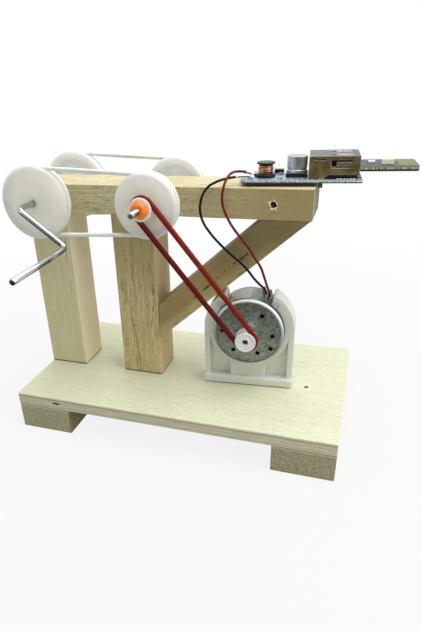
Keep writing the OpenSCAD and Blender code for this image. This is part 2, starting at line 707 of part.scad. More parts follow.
module usb_tongue() color("black") in_board() {
    back = stick_x0 - run_gap;
    inner = socket_w / 2 - socket_wall - press_gap;
    block([socket_x0 + socket_wall, -inner, socket_floor], [back, inner, socket_roof - press_gap]);
    block([back, -tongue_w / 2, contact_z + contact_t],
        [socket_x1 - socket_lip, tongue_w / 2, socket_roof - run_gap]);
}
module usb_contacts() color("gold") in_board() for (y = contact_ys)
    block([stick_x0, y - contact_w / 2, contact_z], [contact_x1, y + contact_w / 2, contact_z + contact_t]);

// Places of the larger parts on the board: the capacitor stands by the socket, and the inductor by
// the solder beads, or by the capacitor where the board is short
part_space = 0.4;
bead_inset = 3.4;
foot_over = 0.15;
capacitor_space = 0.3;
capacitor_at = [socket_x0 - capacitor_space - capacitor_r - foot_over, -0.6];
inductor_space = 1;
inductor_at = [
    min(bead_inset - board_l / 2 + inductor_space,
        capacitor_at.x - capacitor_r - foot_over - part_space - 2 * inductor_r) + inductor_r, -2.2
];

// Two beads of solder at the board's left end, in which the wires begin
bead_r = 1.1;
bead_z = 0.2;
bead_x = inductor_at.x - inductor_r - inductor_space;
bead_ys = [-5.6, -0.8];
module solder_joints() color("silver") in_board() for (y = bead_ys) intersection() {
    translate([bead_x, y, bead_z]) sphere(bead_r);
    translate([bead_x, y, 0]) cylinder(r = 2 * bead_r, h = 2 * bead_r);
}

// Drum inductor: a ferrite spool with a base flange, a waist and a top flange
spool_r = 2.1;
base_flange = 1;
top_flange = 0.6;
flange_step = 0.2;
module inductor_core() color("black") in_board() translate(inductor_at) {
    cylinder(r = inductor_r, h = base_flange);
    cylinder(r = spool_r, h = inductor_h);
    translate([0, 0, inductor_h - top_flange]) cylinder(r = inductor_r - flange_step, h = top_flange);
}
// The winding rises straight from the base flange, turns round the spool and ends under the top flange
coil_r = spool_r + coil_wire / 2 + axle_clear;
coil_z0 = base_flange + coil_wire;
coil_z1 = inductor_h - top_flange - coil_wire;
coil_pitch = (coil_z1 - coil_z0) / coil_turns;
loop_rings = 24;
coil_loops = [for (i = [0:coil_turns * loop_rings]) let (a = 360 * i / loop_rings)
    [coil_r * cos(a), coil_r * sin(a), coil_z0 + coil_pitch * i / loop_rings]];
coil_path = concat(
    [[coil_r, -coil_wire, base_flange], [coil_r, -coil_wire, coil_z0 - coil_wire / 3]], coil_loops,
    [[coil_r, coil_wire, coil_z1 + coil_wire / 3], [coil_r, coil_wire, inductor_h - top_flange]]
);
coil_gap = min([for (i = [0:len(coil_path) - 1]) for (j = [i + loop_rings / 2:1:len(coil_path) - 1])
    norm(coil_path[i] - coil_path[j])]) - coil_wire;
echo(least_winding_gap = coil_gap);
module inductor_winding() color("peru") in_board() translate(inductor_at) tube(coil_path, coil_wire / 2, 6);

capacitor_foot = 1.2;
crimp_r = 0.35;
crimp_z = 1;
module capacitor_base() color("black") in_board() translate(capacitor_at)
    block([-capacitor_r - foot_over, -capacitor_r - foot_over, 0],
        [capacitor_r + foot_over, capacitor_r + foot_over, capacitor_foot]);
module capacitor_can() color("silver") in_board() translate(capacitor_at) translate([0, 0, capacitor_foot])
    rotate_extrude() difference() {
        square([capacitor_r, capacitor_h - capacitor_foot]);
        translate([capacitor_r + crimp_r / 2, crimp_z]) circle(crimp_r);
    }

// Small parts on the board, each a block of size s round the place p
chip_size = [3, 1.8, 1.2];
diode_size = [2.6, 1.6, 1];
small_size = [1.6, 0.8, 0.5];
chip_at = [capacitor_at.x - 5.6, 4.4];
// The diode stands behind the inductor, and clear of the chip where the board is short
diode_at = [min(inductor_at.x, chip_at.x - (chip_size.x + diode_size.x) / 2 - part_space), 4.6];
// Two of the small parts stand in front of the inductor and behind it
small_reach = inductor_r + part_space + small_size.y / 2;
small_spots = [
    [capacitor_at.x - 4.8, inductor_at.y - small_reach], [capacitor_at.x - 4.8, inductor_at.y + small_reach],
    [capacitor_at.x - 1.2, 5.6], [capacitor_at.x + 2, 5.6],
    [min(inductor_at.x, diode_at.x) - 2, inductor_at.y + small_reach + small_size.y]
];
module chip(p, s) translate(p) translate([-s.x / 2, -s.y / 2, 0]) cube(s);
module boost_chip() color("black") in_board() chip(chip_at, chip_size);
module diode() color("black") in_board() chip(diode_at, diode_size);
module chip_parts() color("tan") in_board() for (p = small_spots) chip(p, small_size);

// Wires

// A point p of the board's or the motor's own axes, which are yawed about the vertical, on the bench
function on_bench(p, origin, yaw) = origin
    + [p.x * cos(yaw) - p.y * sin(yaw), p.x * sin(yaw) + p.y * cos(yaw), p.z];
function board_end(y) = on_bench([bead_x, y, wire_rise], [board_x, board_y, board_top], board_yaw);
function motor_end(s) = on_bench([s.x, can_l + lug_out - lug_w / 2, s.y + lug_t / 2 + wire_sunk],
    [motor_x, motor_y, motor_z], motor_yaw);
// A route with its two ends moved, and every point between them moved in proportion
function drawn(route, start, end) = let (n = len(route) - 1)
    [for (i = [0:n]) route[i] + (1 - i / n) * (start - route[0]) + i / n * (end - route[n])];
module wire(route, y, lug) placed()
    tube(drawn(route, board_end(y), motor_end(lug)), wire_d / 2, wire_sides);
module red_wire() color("firebrick") wire(red_route, bead_ys[1], lug_spots[1]);
module black_wire() color("black") wire(black_route, bead_ys[0], lug_spots[0]);

// Lamp stick in the socket

led_x = 7.8;
led_y = -2.2;
led_body = [3.5, 2.8, 1.5];
led_window = [2.8, 2.2, 0.2];
resistor_x = 3.6;
resistor_size = [1.9, 2.4, 0.5];
bare_pad_l = 5.2;
bare_pad_inset = 0.4;
stick_round = 0.8;
module stick_board() color("darkslategray") in_board()
    for (side = [0, 1]) mirror([0, side, 0]) {
        block([stick_x0, 0, stick_z], [stick_x1 - stick_round, stick_w / 2, stick_top]);
        block([stick_x0, 0, stick_z], [stick_x1, stick_w / 2 - stick_round, stick_top]);
        translate([stick_x1 - stick_round, stick_w / 2 - stick_round, stick_z])
            cylinder(r = stick_round, h = stick_t);
    }
module stick_led() color("lightyellow") in_board() translate([socket_x1 + led_x, led_y, stick_top]) {
    chip([0, 0, 0], led_body);
    chip([0, 0, led_body.z], led_window);
}
module stick_contacts() color("gold") in_board() for (y = contact_ys)
    block([stick_x0, y - contact_w / 2, stick_top], [contact_x1, y + contact_w / 2, stick_top + pad_t]);
module stick_parts() color("white") in_board() {
    chip([socket_x1 + resistor_x, 0, stick_top], resistor_size);
    chip([stick_x1 - bare_pad_inset - bare_pad_l / 2, 0, stick_top],
        [bare_pad_l, stick_w - 2 * bare_pad_inset, pad_t]);
}

base_board();
foot_left();
foot_right();
post_left();
post_right();
top_beam();
diagonal_brace();
front_belt();
rear_belt();
drive_belt();
motor_bracket();
bracket_tape();
motor_can();
motor_label();
motor_front_bush();
motor_magnet();
motor_end_cap();
motor_rear_bush();
motor_terminals();
motor_brushes();
circuit_board();
board_tape();
usb_shell();
usb_tongue();
usb_contacts();
solder_joints();
inductor_core();
inductor_winding();
capacitor_can();
capacitor_base();
boost_chip();
diode();
chip_parts();
red_wire();
black_wire();
crank_rod();
crank_wheel_front();
crank_wheel_rear();
drive_axle();
driven_wheel_front();
driven_wheel_rear();
drive_pulley();
stop_collar();
motor_shaft();
rotor_core();
rotor_windings();
commutator();
motor_pulley();
stick_board();
stick_led();
stick_contacts();
stick_parts();
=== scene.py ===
"""Hand crank generator: the finishes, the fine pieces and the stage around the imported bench."""

import json
import math

import bmesh
import bpy
from bpy.props import FloatProperty, FloatVectorProperty, IntProperty, PointerProperty
from mathutils import Matrix, Vector


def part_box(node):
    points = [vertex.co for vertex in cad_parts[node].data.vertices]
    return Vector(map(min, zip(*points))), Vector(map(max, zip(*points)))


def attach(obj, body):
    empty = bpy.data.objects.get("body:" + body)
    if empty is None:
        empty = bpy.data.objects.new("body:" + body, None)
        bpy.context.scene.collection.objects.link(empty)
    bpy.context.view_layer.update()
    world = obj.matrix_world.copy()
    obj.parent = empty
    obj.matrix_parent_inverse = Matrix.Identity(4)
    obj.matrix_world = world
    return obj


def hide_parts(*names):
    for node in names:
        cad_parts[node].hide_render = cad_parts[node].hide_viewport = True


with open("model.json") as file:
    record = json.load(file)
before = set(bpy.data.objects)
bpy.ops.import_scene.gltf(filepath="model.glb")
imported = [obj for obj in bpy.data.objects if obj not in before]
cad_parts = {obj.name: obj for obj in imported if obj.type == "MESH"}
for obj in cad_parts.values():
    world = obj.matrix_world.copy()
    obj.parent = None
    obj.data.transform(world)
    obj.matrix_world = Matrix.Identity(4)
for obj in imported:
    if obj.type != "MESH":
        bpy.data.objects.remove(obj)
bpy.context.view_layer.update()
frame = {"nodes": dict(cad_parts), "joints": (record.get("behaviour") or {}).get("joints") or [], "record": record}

bl_info = {
    "name": "Hand crank generator",
    "version": (1, 0, 0),
    "blender": (4, 5, 0),
    "location": "View3D > Sidebar > Generator",
    "description": "Dresses the packed hand crank generator with its finishes, fine pieces and stage",
    "category": "Object",
}

# Metres in a millimetre, the gap at which points merge and the radius below which a ring is one point
MM = 0.001
MERGE = 0.000002
POLE = 0.00001
# Angles in degrees: between faces that count as one, and at which an edge counts as sharp
FLAT = 0.4
SHARP = 35

RECORD = frame["record"]
BODY_OF = {solid: body for body, solids in RECORD["behaviour"]["bodies"].items() for solid in solids}
JOINT = {joint["name"]: joint for joint in frame["joints"]}
MOUNT = {mount["name"]: mount for mount in RECORD["mounts"]}


def reach(solid, axis):
    """How far a solid reaches along an axis: its lowest and its highest point."""
    spots = [vertex.co.dot(axis) for vertex in frame["nodes"][solid].data.vertices]
    return min(spots), max(spots)


# Frames of the bench, the motor and the circuit board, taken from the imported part
BENCH = Vector((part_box("base_board")[0].x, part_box("base_board")[0].y, 0))
MOTOR_AXIS = Vector(JOINT["rotor_spin"]["axis"])
MOTOR = Matrix.Translation(JOINT["rotor_spin"]["pos_m"]) @ Matrix.Rotation(
    math.atan2(MOTOR_AXIS.x, -MOTOR_AXIS.y), 4, "Z")
SLIDE = Vector(JOINT["stick_slide"]["axis"])
ASIDE = Vector((-SLIDE.y, SLIDE.x, 0))
BOARD = Matrix.Translation(
    SLIDE * sum(reach("circuit_board", SLIDE)) / 2 + ASIDE * sum(reach("circuit_board", ASIDE)) / 2
    + Vector((0, 0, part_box("circuit_board")[1].z))
) @ Matrix.Rotation(math.atan2(SLIDE.y, SLIDE.x), 4, "Z")

# Routes of the two motor wires on the bench, in millimetres, from the board to the motor
BLACK_ROUTE = (
    (79.76, 31, 88.2), (77, 30.5, 88.3), (74.5, 29.5, 88.1), (72, 28, 87.8), (69.5, 26.5, 87.1),
    (67.5, 25.2, 86), (66, 24.4, 84), (65.2, 24, 81.5), (65, 24, 78.5), (66, 24, 75), (68, 24, 72),
    (70.2, 24, 69.5), (72.8, 24, 67), (75.6, 24, 64.6), (78.2, 24, 62.5), (80.4, 24.4, 60.2),
    (82.5, 25, 57.2), (84.2, 26.4, 54.7), (85.5, 28.2, 52.6), (85.6, 30.6, 50.8), (85.5, 32.1, 49.4),
    (85.2, 33.7, 48.8), (84.7, 35.5, 48.9), (84.3, 37.2, 49), (83.8, 38.9, 48.8), (83.4, 40.1, 47.8),
    (83.2, 40.6, 46.7), (83.18, 40.46, 45.4),
)
RED_ROUTE = (
    (79.26, 35.77, 88.2), (76.6, 35, 88.8), (74.8, 33, 89.2), (73.8, 30.4, 89.3), (73.2, 28, 88.8),
    (72.6, 26, 87.3), (72.2, 24.8, 85.2), (72, 24.4, 82.6), (72.4, 24.4, 80), (73.6, 24.4, 77),
    (75.2, 24.4, 74.2), (77, 24.4, 71.8), (79, 24.4, 69.4), (81, 24.4, 67), (82.6, 24.4, 64.4),
    (84.7, 24.5, 61.3), (85.4, 25.2, 59), (86, 26.2, 56.5), (86.5, 27.4, 54), (87, 28.6, 51.8),
    (87, 30.6, 50), (86.9, 31.8, 48.7), (86.7, 33.6, 48), (86.4, 35.6, 48), (86.1, 37.5, 48),
    (86, 39.1, 47.8), (86, 40.3, 46.8), (86, 40.8, 45.8), (85.98, 40.71, 44.7),
)


def tone(code):
    """A colour written as six hex digits, as linear red, green and blue."""
    parts = [int(code[i:i + 2], 16) / 255 for i in (0, 2, 4)]
    return tuple(p / 12.92 if p <= 0.04045 else ((p + 0.055) / 1.055) ** 2.4 for p in parts)


def dimmed(shade, share):
    """A share of a colour."""
    return tuple(share * part for part in shade)


def length(name, text, default, **limits):
    """A size in metres that a user may change."""
    return FloatProperty(name=name, description=text, default=default, unit="LENGTH", precision=5, **limits)


def colour(name, text, code):
    """A colour that a user may change."""
    return FloatVectorProperty(name=name, description=text, default=tone(code), subtype="COLOR",
                               min=0, max=1)


def power(name, text, default):
    """A lamp's power that a user may change."""
    return FloatProperty(name=name, description=text, default=default, unit="POWER", min=0)


class BenchSizes(bpy.types.PropertyGroup):
    """Sizes of the fine pieces that dress the bench."""

    wood_edge: length("Wood edge", "Rounding of the sawn wood's edges", 0.45 * MM)
    nylon_edge: length("Nylon edge", "Rounding of the motor bracket's edges", 0.5 * MM)
    wheel_width: length("Wheel width", "Width of a wheel across its rim", 4.6 * MM)
    wheel_dish: length("Wheel dish", "How far a wheel's rim stands behind its middle", 0.5 * MM)
    groove_depth: length("Groove depth", "Depth of the belt groove in a wheel", 2 * MM)
    rim_width: length("Rim width", "Width of the rim round a wheel's inner recess", 3 * MM)
    recess_depth: length("Recess depth", "Depth of the recess in a wheel's inner face", 1.6 * MM)
    hub_radius: length("Hub radius", "Radius of a wheel's hub boss", 3.2 * MM)
    rod_radius: length("Rod radius", "Radius of the crank rod and of the axles", 1 * MM)
    bend_radius: length("Bend radius", "Radius of the crank rod's bends", 2.2 * MM)
    red_belt: length("Red belt", "Side of the red belt's section", 1.45 * MM)
    red_loop: length("Red loop", "Radius of the red belt's middle line round a pulley", 3.425 * MM)
    groove_radius: length("Pulley groove", "Radius at the bottom of a small pulley's groove", 2.5 * MM)
    flange: length("Pulley flange", "Thickness of a small pulley's flange", 0.5 * MM)
    wire: length("Wire", "Diameter of the two motor wires", 0.8 * MM)
    coil_wire: length("Coil wire", "Diameter of the inductor's copper wire", 0.52 * MM)
    rotor_wire: length("Rotor wire", "Diameter of the wire on the motor's rotor", 0.33 * MM)
    coil_turns: IntProperty(name="Coil turns", description="Turns on the inductor", default=5, min=3)
    splinters: IntProperty(name="Splinters", description="Splinters round the spare hole", default=17, min=0)
    splinter_length: length("Splinter length", "Length of the longest splinter", 1.9 * MM)


class BenchColours(bpy.types.PropertyGroup):
    """Colours of the bench's finishes."""

    pale_wood: colour("Pale wood", "Early wood of the sawn timber", "d8d5aa")
    dark_wood: colour("Dark wood", "Late wood of the sawn timber", "bab186")
    pink_wood: colour("Pink wood", "Broad streaks in the sawn timber", "d2c49c")
    veneer: colour("Veneer", "Face of the plywood base", "d9dbc0")
    veneer_grain: colour("Veneer grain", "Grain in the plywood's face", "ccccaa")
    nylon: colour("Nylon", "The two front wheels", "f2f1e4")
    white_band: colour("White band", "The two pale belts", "e9ede9")
    red_band: colour("Red band", "The drive belt", "8c2418")
    steel: colour("Steel", "Crank rod, drive axle and motor shaft", "b9bdc0")
    zinc: colour("Zinc", "Side of the motor can", "929b98")
    orange: colour("Orange", "Stop collar", "ff8a1c")
    laminate: colour("Laminate", "Circuit board", "8497ac")
    copper: colour("Copper", "Inductor winding", "d49c72")


class BenchStage(bpy.types.PropertyGroup):
    """Camera and light."""

    camera_place: FloatVectorProperty(
        name="Camera place", description="Where the camera stands, from the base's left front corner",
        subtype="TRANSLATION", unit="LENGTH", default=(114.06 * MM, -140.38 * MM, 120.01 * MM))
    camera_turn: FloatVectorProperty(
        name="Camera turn", description="How the camera is turned", subtype="EULER",
        default=(math.radians(61.556), math.radians(2.667), math.radians(19.269)))
    lens: FloatProperty(
        name="Lens", description="Focal length on a 36 mm frame", default=30.73, min=1, unit="CAMERA")
    shift: FloatVectorProperty(
        name="Shift", description="Shift of the frame", size=2, default=(0.0658, 0.0632))
    sky: FloatProperty(name="Sky", description="Soft light from all round", default=0.35, min=0)
    key_power: power("Key power", "Power of the large lamp above", 11.2)
    fill_power: power("Fill power", "Power of the lamp to the left of the camera", 0.4)
    side_power: power("Side power", "Power of the lamp on the right", 2.3)
    back_power: power("Back power", "Power of the lamp behind", 1.2)


# Meshes


def finished(work, name, angle=SHARP):
    """Turns a bmesh into a mesh with outward normals, smooth up to an angle."""
    bmesh.ops.recalc_face_normals(work, faces=work.faces)
    mesh = bpy.data.meshes.new(name)
    work.to_mesh(mesh)
    work.free()
    mesh.shade_smooth()
    mesh.set_sharp_from_angle(angle=math.radians(angle))
    return mesh


def softened(points, radius, steps=4, closed=True):
    """An outline with each corner rounded as far as its two sides allow; radius is one or one for each."""
    radii = [radius] * len(points) if isinstance(radius, (int, float)) else radius
    soft = []
    for i, point in enumerate(points):
        here = Vector(point)
        if radii[i] <= 0 or (not closed and i in (0, len(points) - 1)):
            soft.append(here)
            continue
        back = Vector(points[i - 1]) - here
        ahead = Vector(points[(i + 1) % len(points)]) - here
        opening = back.angle(ahead) / 2
        cut = min(radii[i] / math.tan(opening), 0.49 * back.length, 0.49 * ahead.length)
        start = here + back.normalized() * cut
        end = here + ahead.normalized() * cut
        for k in range(steps + 1):
            t = k / steps
            soft.append(start * (1 - t) ** 2 + here * 2 * t * (1 - t) + end * t ** 2)
    return soft


def turned(name, profile, place, steps=96):
    """A closed profile of (radius, distance) points turned round the y axis of a place."""
    work = bmesh.new()
    rings = []
    for radius, along in profile:
        count = 1 if radius < POLE else steps
        rings.append([work.verts.new(place @ Vector((
            radius * math.cos(math.tau * i / steps), along, radius * math.sin(math.tau * i / steps))))
            for i in range(count)])
    for near, far in zip(rings, rings[1:] + rings[:1]):
        if len(near) == len(far) == 1:
            continue
        for i in range(steps):
            j = (i + 1) % steps
            corners = (near[i % len(near)], near[j % len(near)], far[j % len(far)], far[i % len(far)])
            work.faces.new(list(dict.fromkeys(corners)))
    return finished(work, name)


def rod(name, path, radius, sides=24, chamfer=0.25 * MM):
    """A round rod along a path, with chamfered ends in a second material."""
    work = bmesh.new()
    points = [Vector(p) for p in path]
    first = (points[1] - points[0]).normalized()
    last = (points[-1] - points[-2]).normalized()
    stations = [(points[0], radius - chamfer), (points[0] + first * chamfer, radius)]
    stations += [(p, radius) for p in points[1:-1]]
    stations += [(points[-1] - last * chamfer, radius), (points[-1], radius - chamfer)]
    side = first.orthogonal().normalized()
    rings = []
    for i, (centre, size) in enumerate(stations):
        ahead = stations[min(i + 1, len(stations) - 1)][0] - stations[max(i - 1, 0)][0]
        ahead.normalize()
        side = (side - ahead * side.dot(ahead)).normalized()
        across = ahead.cross(side)
        rings.append([work.verts.new(centre + size * (
            side * math.cos(math.tau * k / sides) + across * math.sin(math.tau * k / sides)))
            for k in range(sides)])
    for near, far in zip(rings, rings[1:]):
        for k in range(sides):
            work.faces.new((near[k], near[k - 1], far[k - 1], far[k]))
    for cap in (rings[0], rings[-1]):
        work.faces.new(cap).material_index = 1
    return finished(work, name, angle=50)


def arc(start, corner, end, radius, steps=10):
    """Points of a round bend at a corner between two straight stretches."""
    return softened([start, corner, end], [0, radius, 0], steps, closed=False)[1:-1]


def flattened(carrier):
    """The evaluated shape of an object as a plain mesh; the object goes."""
    bpy.context.view_layer.update()
    graph = bpy.context.evaluated_depsgraph_get()
    mesh = bpy.data.meshes.new_from_object(carrier.evaluated_get(graph))
    bpy.data.objects.remove(carrier)
    return mesh


def carried(name, data):
    """A new object in the scene."""
    carrier = bpy.data.objects.new(name, data)
    bpy.context.scene.collection.objects.link(carrier)
    return carrier


def dressed(solid, width, segments=3, cutters=()):
    """A copy of a solid with pieces cut out of it and its sharp edges rounded, as a plain mesh."""
    work = bmesh.new()
    work.from_mesh(frame["nodes"][solid].data)
    bmesh.ops.remove_doubles(work, verts=work.verts, dist=MERGE)
    bmesh.ops.dissolve_limit(work, angle_limit=math.radians(FLAT), verts=work.verts, edges=work.edges)
    mesh = bpy.data.meshes.new(solid + "_dressed")
    work.to_mesh(mesh)
    work.free()
    for spare in ("custom_normal", "sharp_face", "sharp_edge"):
        if spare in mesh.attributes:
            mesh.attributes.remove(mesh.attributes[spare])
    carrier = carried(solid + "_work", mesh)
    helpers = []
    for cutter in cutters:
        helpers.append(carried("cutter", cutter))
        cut = carrier.modifiers.new("cut", "BOOLEAN")
        cut.operation = "DIFFERENCE"
        cut.solver = "EXACT"
        cut.object = helpers[-1]
    bevel = carrier.modifiers.new("edges", "BEVEL")
    bevel.width = width
    bevel.segments = segments
    bevel.limit_method = "ANGLE"
    bevel.angle_limit = math.radians(SHARP)
    bevel.harden_normals = True
    mesh.shade_smooth()
    result = flattened(carrier)
    for helper in helpers:
        bpy.data.objects.remove(helper)
    return result


# Rounding of the small pieces' edges in millimetres, and its number of steps
EDGES = {
    "motor_can": (0.14, 2), "circuit_board": (0.12, 2), "inductor_core": (0.25, 3),
    "capacitor_can": (0.35, 3), "capacitor_base": (0.15, 3), "boost_chip": (0.15, 3), "diode": (0.15, 3),
    "chip_parts": (0.08, 2), "usb_shell": (0.16, 2), "stick_board": (0.15, 2), "stick_led": (0.12, 2),
    "stick_parts": (0.02, 1),
}


def eased(solid, cutters=()):
    """A small solid with its own rounding on its edges."""
    width, steps = EDGES[solid]
    return dressed(solid, width * MM, steps, cutters)


def block(low, high, place=Matrix(), edge=0.0):
    """A box between two corners of a place, with softened edges."""
    work = bmesh.new()
    bmesh.ops.create_cube(work, size=1)
    low, high = Vector(low), Vector(high)
    for vertex in work.verts:
        vertex.co = [low[k] + (vertex.co[k] + 0.5) * (high[k] - low[k]) for k in range(3)]
    if edge > 0:
        bmesh.ops.bevel(work, geom=work.edges[:], offset=edge, segments=2, profile=0.5, affect="EDGES")
    work.transform(place)
    return work


def joined(works, name):
    """Several bmeshes as one mesh."""
    whole = bmesh.new()
    for work in works:
        part = bpy.data.meshes.new("part")
        work.to_mesh(part)
        work.free()
        whole.from_mesh(part)
        bpy.data.meshes.remove(part)
    return finished(whole, name)


def by_direction(mesh, axis, limit=0.9):
    """Gives the faces that look along an axis the second material."""
    for face in mesh.polygons:
        if abs(face.normal.dot(axis)) > limit:
            face.material_index = 1


def by_edge(mesh):
    """Gives the faces round the edge of a flat piece the second material."""
    for face in mesh.polygons:
        face.material_index = 0 if abs(face.normal.z) > 0.6 else 1


def show(name, mesh, materials, solid, instead=True):
    """Puts a finished mesh on the body of a solid, in its place or beside it."""
    piece = carried(name, mesh)
    for material in materials:
        mesh.materials.append(material)
    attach(piece, BODY_OF[solid])
    if instead:
        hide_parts(solid)


def paint(solid, material):
    """Gives a solid that stays its material."""
    kept = frame["nodes"][solid]
    if not kept.material_slots:
        kept.data.materials.append(material)
    for slot in kept.material_slots:
        slot.material = material


# Geometry trees


def tree_with(name, inputs):
    """A geometry tree with named inputs; returns the tree and its input node."""
    tree = bpy.data.node_groups.new(name, "GeometryNodeTree")
    for label, kind in inputs:
        tree.interface.new_socket(label, in_out="INPUT", socket_type=kind)
    tree.interface.new_socket("Geometry", in_out="OUTPUT", socket_type="NodeSocketGeometry")
    return tree, tree.nodes.new("NodeGroupInput")


def node(tree, kind, inputs=None, **settings):
    """Adds a node with its settings; each input is a value, or the output that it is joined to."""
    made = tree.nodes.new(kind)
    for key, value in settings.items():
        setattr(made, key, value)
    for key, value in (inputs or {}).items():
        if isinstance(value, bpy.types.NodeSocket):
            tree.links.new(value, made.inputs[key])
        else:
            made.inputs[key].default_value = value
    return made


def close_tree(tree, geometry, material):
    """Ends a geometry tree in real, smooth geometry with its material."""
    real = node(tree, "GeometryNodeRealizeInstances", {"Geometry": geometry})
    painted = node(tree, "GeometryNodeSetMaterial", {"Geometry": real.outputs[0], "Material": material})
    smooth = node(tree, "GeometryNodeSetShadeSmooth", {"Geometry": painted.outputs[0]})
    node(tree, "NodeGroupOutput", {"Geometry": smooth.outputs[0]})


def grown(name, tree, values, base=None):
    """The plain mesh that a geometry tree makes with these values."""
    carrier = carried(name, base or bpy.data.meshes.new(name))
    modifier = carrier.modifiers.new("shape", "NODES")
    modifier.node_group = tree
    for item in tree.interface.items_tree:
        if item.in_out == "INPUT" and item.name in values:
            modifier[item.identifier] = values[item.name]
    return flattened(carrier)


def dots(points):
    """A mesh of loose points."""
    mesh = bpy.data.meshes.new("dots")
    mesh.from_pydata([tuple(p) for p in points], [], [])
    return mesh


def belt_tree():
    """A belt with a soft square section along a closed loop of edges."""
    tree, given = tree_with("belt", (
        ("Geometry", "NodeSocketGeometry"), ("Side", "NodeSocketFloat"), ("Corner", "NodeSocketFloat"),
        ("Plane", "NodeSocketVector"), ("Material", "NodeSocketMaterial")))
    line = node(tree, "GeometryNodeMeshToCurve", {"Mesh": given.outputs["Geometry"]})
    level = node(tree, "GeometryNodeSetCurveNormal",
                 {"Curve": line.outputs[0], "Normal": given.outputs["Plane"]}, mode="FREE")
    square = node(tree, "GeometryNodeCurvePrimitiveQuadrilateral",
                  {"Width": given.outputs["Side"], "Height": given.outputs["Side"]})
    soft = node(tree, "GeometryNodeFilletCurve",
                {"Curve": square.outputs[0], "Radius": given.outputs["Corner"], "Count": 3}, mode="POLY")
    swept = node(tree, "GeometryNodeCurveToMesh",
                 {"Curve": level.outputs[0], "Profile Curve": soft.outputs[0]})
    close_tree(tree, swept.outputs[0], given.outputs["Material"])
    return tree


def close_wire(tree, line, given, sides):
    """Ends a geometry tree in round wire along a line."""
    half = sums(tree, "MULTIPLY", given.outputs["Wire"], 0.5)
    ring = node(tree, "GeometryNodeCurvePrimitiveCircle", {"Resolution": sides, "Radius": half})
    swept = node(tree, "GeometryNodeCurveToMesh",
                 {"Curve": line, "Profile Curve": ring.outputs[0], "Fill Caps": True})
    close_tree(tree, swept.outputs[0], given.outputs["Material"])


def wire_tree():
    """Round wire along the edges of a mesh."""
    tree, given = tree_with("wire", (
        ("Geometry", "NodeSocketGeometry"), ("Wire", "NodeSocketFloat"), ("Material", "NodeSocketMaterial")))
    line = node(tree, "GeometryNodeMeshToCurve", {"Mesh": given.outputs["Geometry"]})
    close_wire(tree, line.outputs[0], given, 8)
    return tree


def winding_tree():
    """A close winding of round wire, upwards round the z axis from the origin, narrower at its ends."""
    tree, given = tree_with("winding", (
        ("Turns", "NodeSocketFloat"), ("Radius", "NodeSocketFloat"), ("Height", "NodeSocketFloat"),
        ("Wire", "NodeSocketFloat"), ("Pinch", "NodeSocketFloat"), ("Material", "NodeSocketMaterial")))
    spiral = node(tree, "GeometryNodeCurveSpiral", {
        "Resolution": 32, "Rotations": given.outputs["Turns"], "Start Radius": given.outputs["Radius"],
        "End Radius": given.outputs["Radius"], "Height": given.outputs["Height"]})
    x, y, z = axes(tree, node(tree, "GeometryNodeInputPosition").outputs[0])
    middle = sums(tree, "SUBTRACT", sums(tree, "DIVIDE", z, given.outputs["Height"]), 0.5)
    share = sums(tree, "SUBTRACT", 1.0, product(tree, middle, middle, given.outputs["Pinch"]))
    barrel = node(tree, "ShaderNodeCombineXYZ", {
        0: product(tree, x, share), 1: product(tree, y, share), 2: z})
    bulged = node(tree, "GeometryNodeSetPosition",
                  {"Geometry": spiral.outputs[0], "Position": barrel.outputs[0]})
    close_wire(tree, bulged.outputs[0], given, 12)
    return tree


def splinter_tree():
    """Thin splinters that stand out round a hole in the x and y plane, with a fixed seed."""
    tree, given = tree_with("splinters", (
        ("Count", "NodeSocketInt"), ("Hole", "NodeSocketFloat"), ("Length", "NodeSocketFloat"),
        ("Seed", "NodeSocketInt"), ("Material", "NodeSocketMaterial")))
    round_hole = node(tree, "GeometryNodeCurvePrimitiveCircle",
                      {"Resolution": given.outputs["Count"], "Radius": given.outputs["Hole"]})
    spots = node(tree, "GeometryNodeCurveToPoints", {"Curve": round_hole.outputs[0],
                                                      "Count": given.outputs["Count"]}, mode="COUNT")
    splinter = node(tree, "GeometryNodeMeshCone", {
        "Vertices": 5, "Radius Top": 0.04 * MM, "Radius Bottom": 0.32 * MM,
        "Depth": given.outputs["Length"]})
    lean = node(tree, "FunctionNodeRandomValue",
                {0: (-0.9, 0.3, -0.9), 1: (0.9, 1.35, 0.9), "Seed": given.outputs["Seed"]},
                data_type="FLOAT_VECTOR")
    outwards = node(tree, "FunctionNodeRotateRotation", {
        "Rotation": spots.outputs["Rotation"], "Rotate By": lean.outputs[0]}, rotation_space="LOCAL")
    size = node(tree, "FunctionNodeRandomValue",
                {0: (0.5, 0.5, 0.15), 1: (1.4, 1.2, 1.0), "Seed": given.outputs["Seed"]},
                data_type="FLOAT_VECTOR")
    planted = node(tree, "GeometryNodeInstanceOnPoints", {
        "Points": spots.outputs[0], "Instance": splinter.outputs[0], "Rotation": outwards.outputs[0],
        "Scale": size.outputs[0]})
    close_tree(tree, planted.outputs[0], given.outputs["Material"])
    return tree


def bead_tree():
    """Flat round beads on the points of a mesh, for pads and solder joints."""
    tree, given = tree_with("beads", (
        ("Geometry", "NodeSocketGeometry"), ("Radius", "NodeSocketFloat"), ("Height", "NodeSocketFloat"),
        ("Material", "NodeSocketMaterial")))
    ball = node(tree, "GeometryNodeMeshUVSphere", {"Segments": 16, "Rings": 8, "Radius": 1})
    size = node(tree, "ShaderNodeCombineXYZ", {
        0: given.outputs["Radius"], 1: given.outputs["Radius"], 2: given.outputs["Height"]})
    flat = node(tree, "GeometryNodeTransform", {"Geometry": ball.outputs[0], "Scale": size.outputs[0]})
    planted = node(tree, "GeometryNodeInstanceOnPoints", {
        "Points": given.outputs["Geometry"], "Instance": flat.outputs[0]})
    close_tree(tree, planted.outputs[0], given.outputs["Material"])
    return tree


# Finishes


def rgba(shade):
    """A colour with full cover."""
    return (*shade, 1)


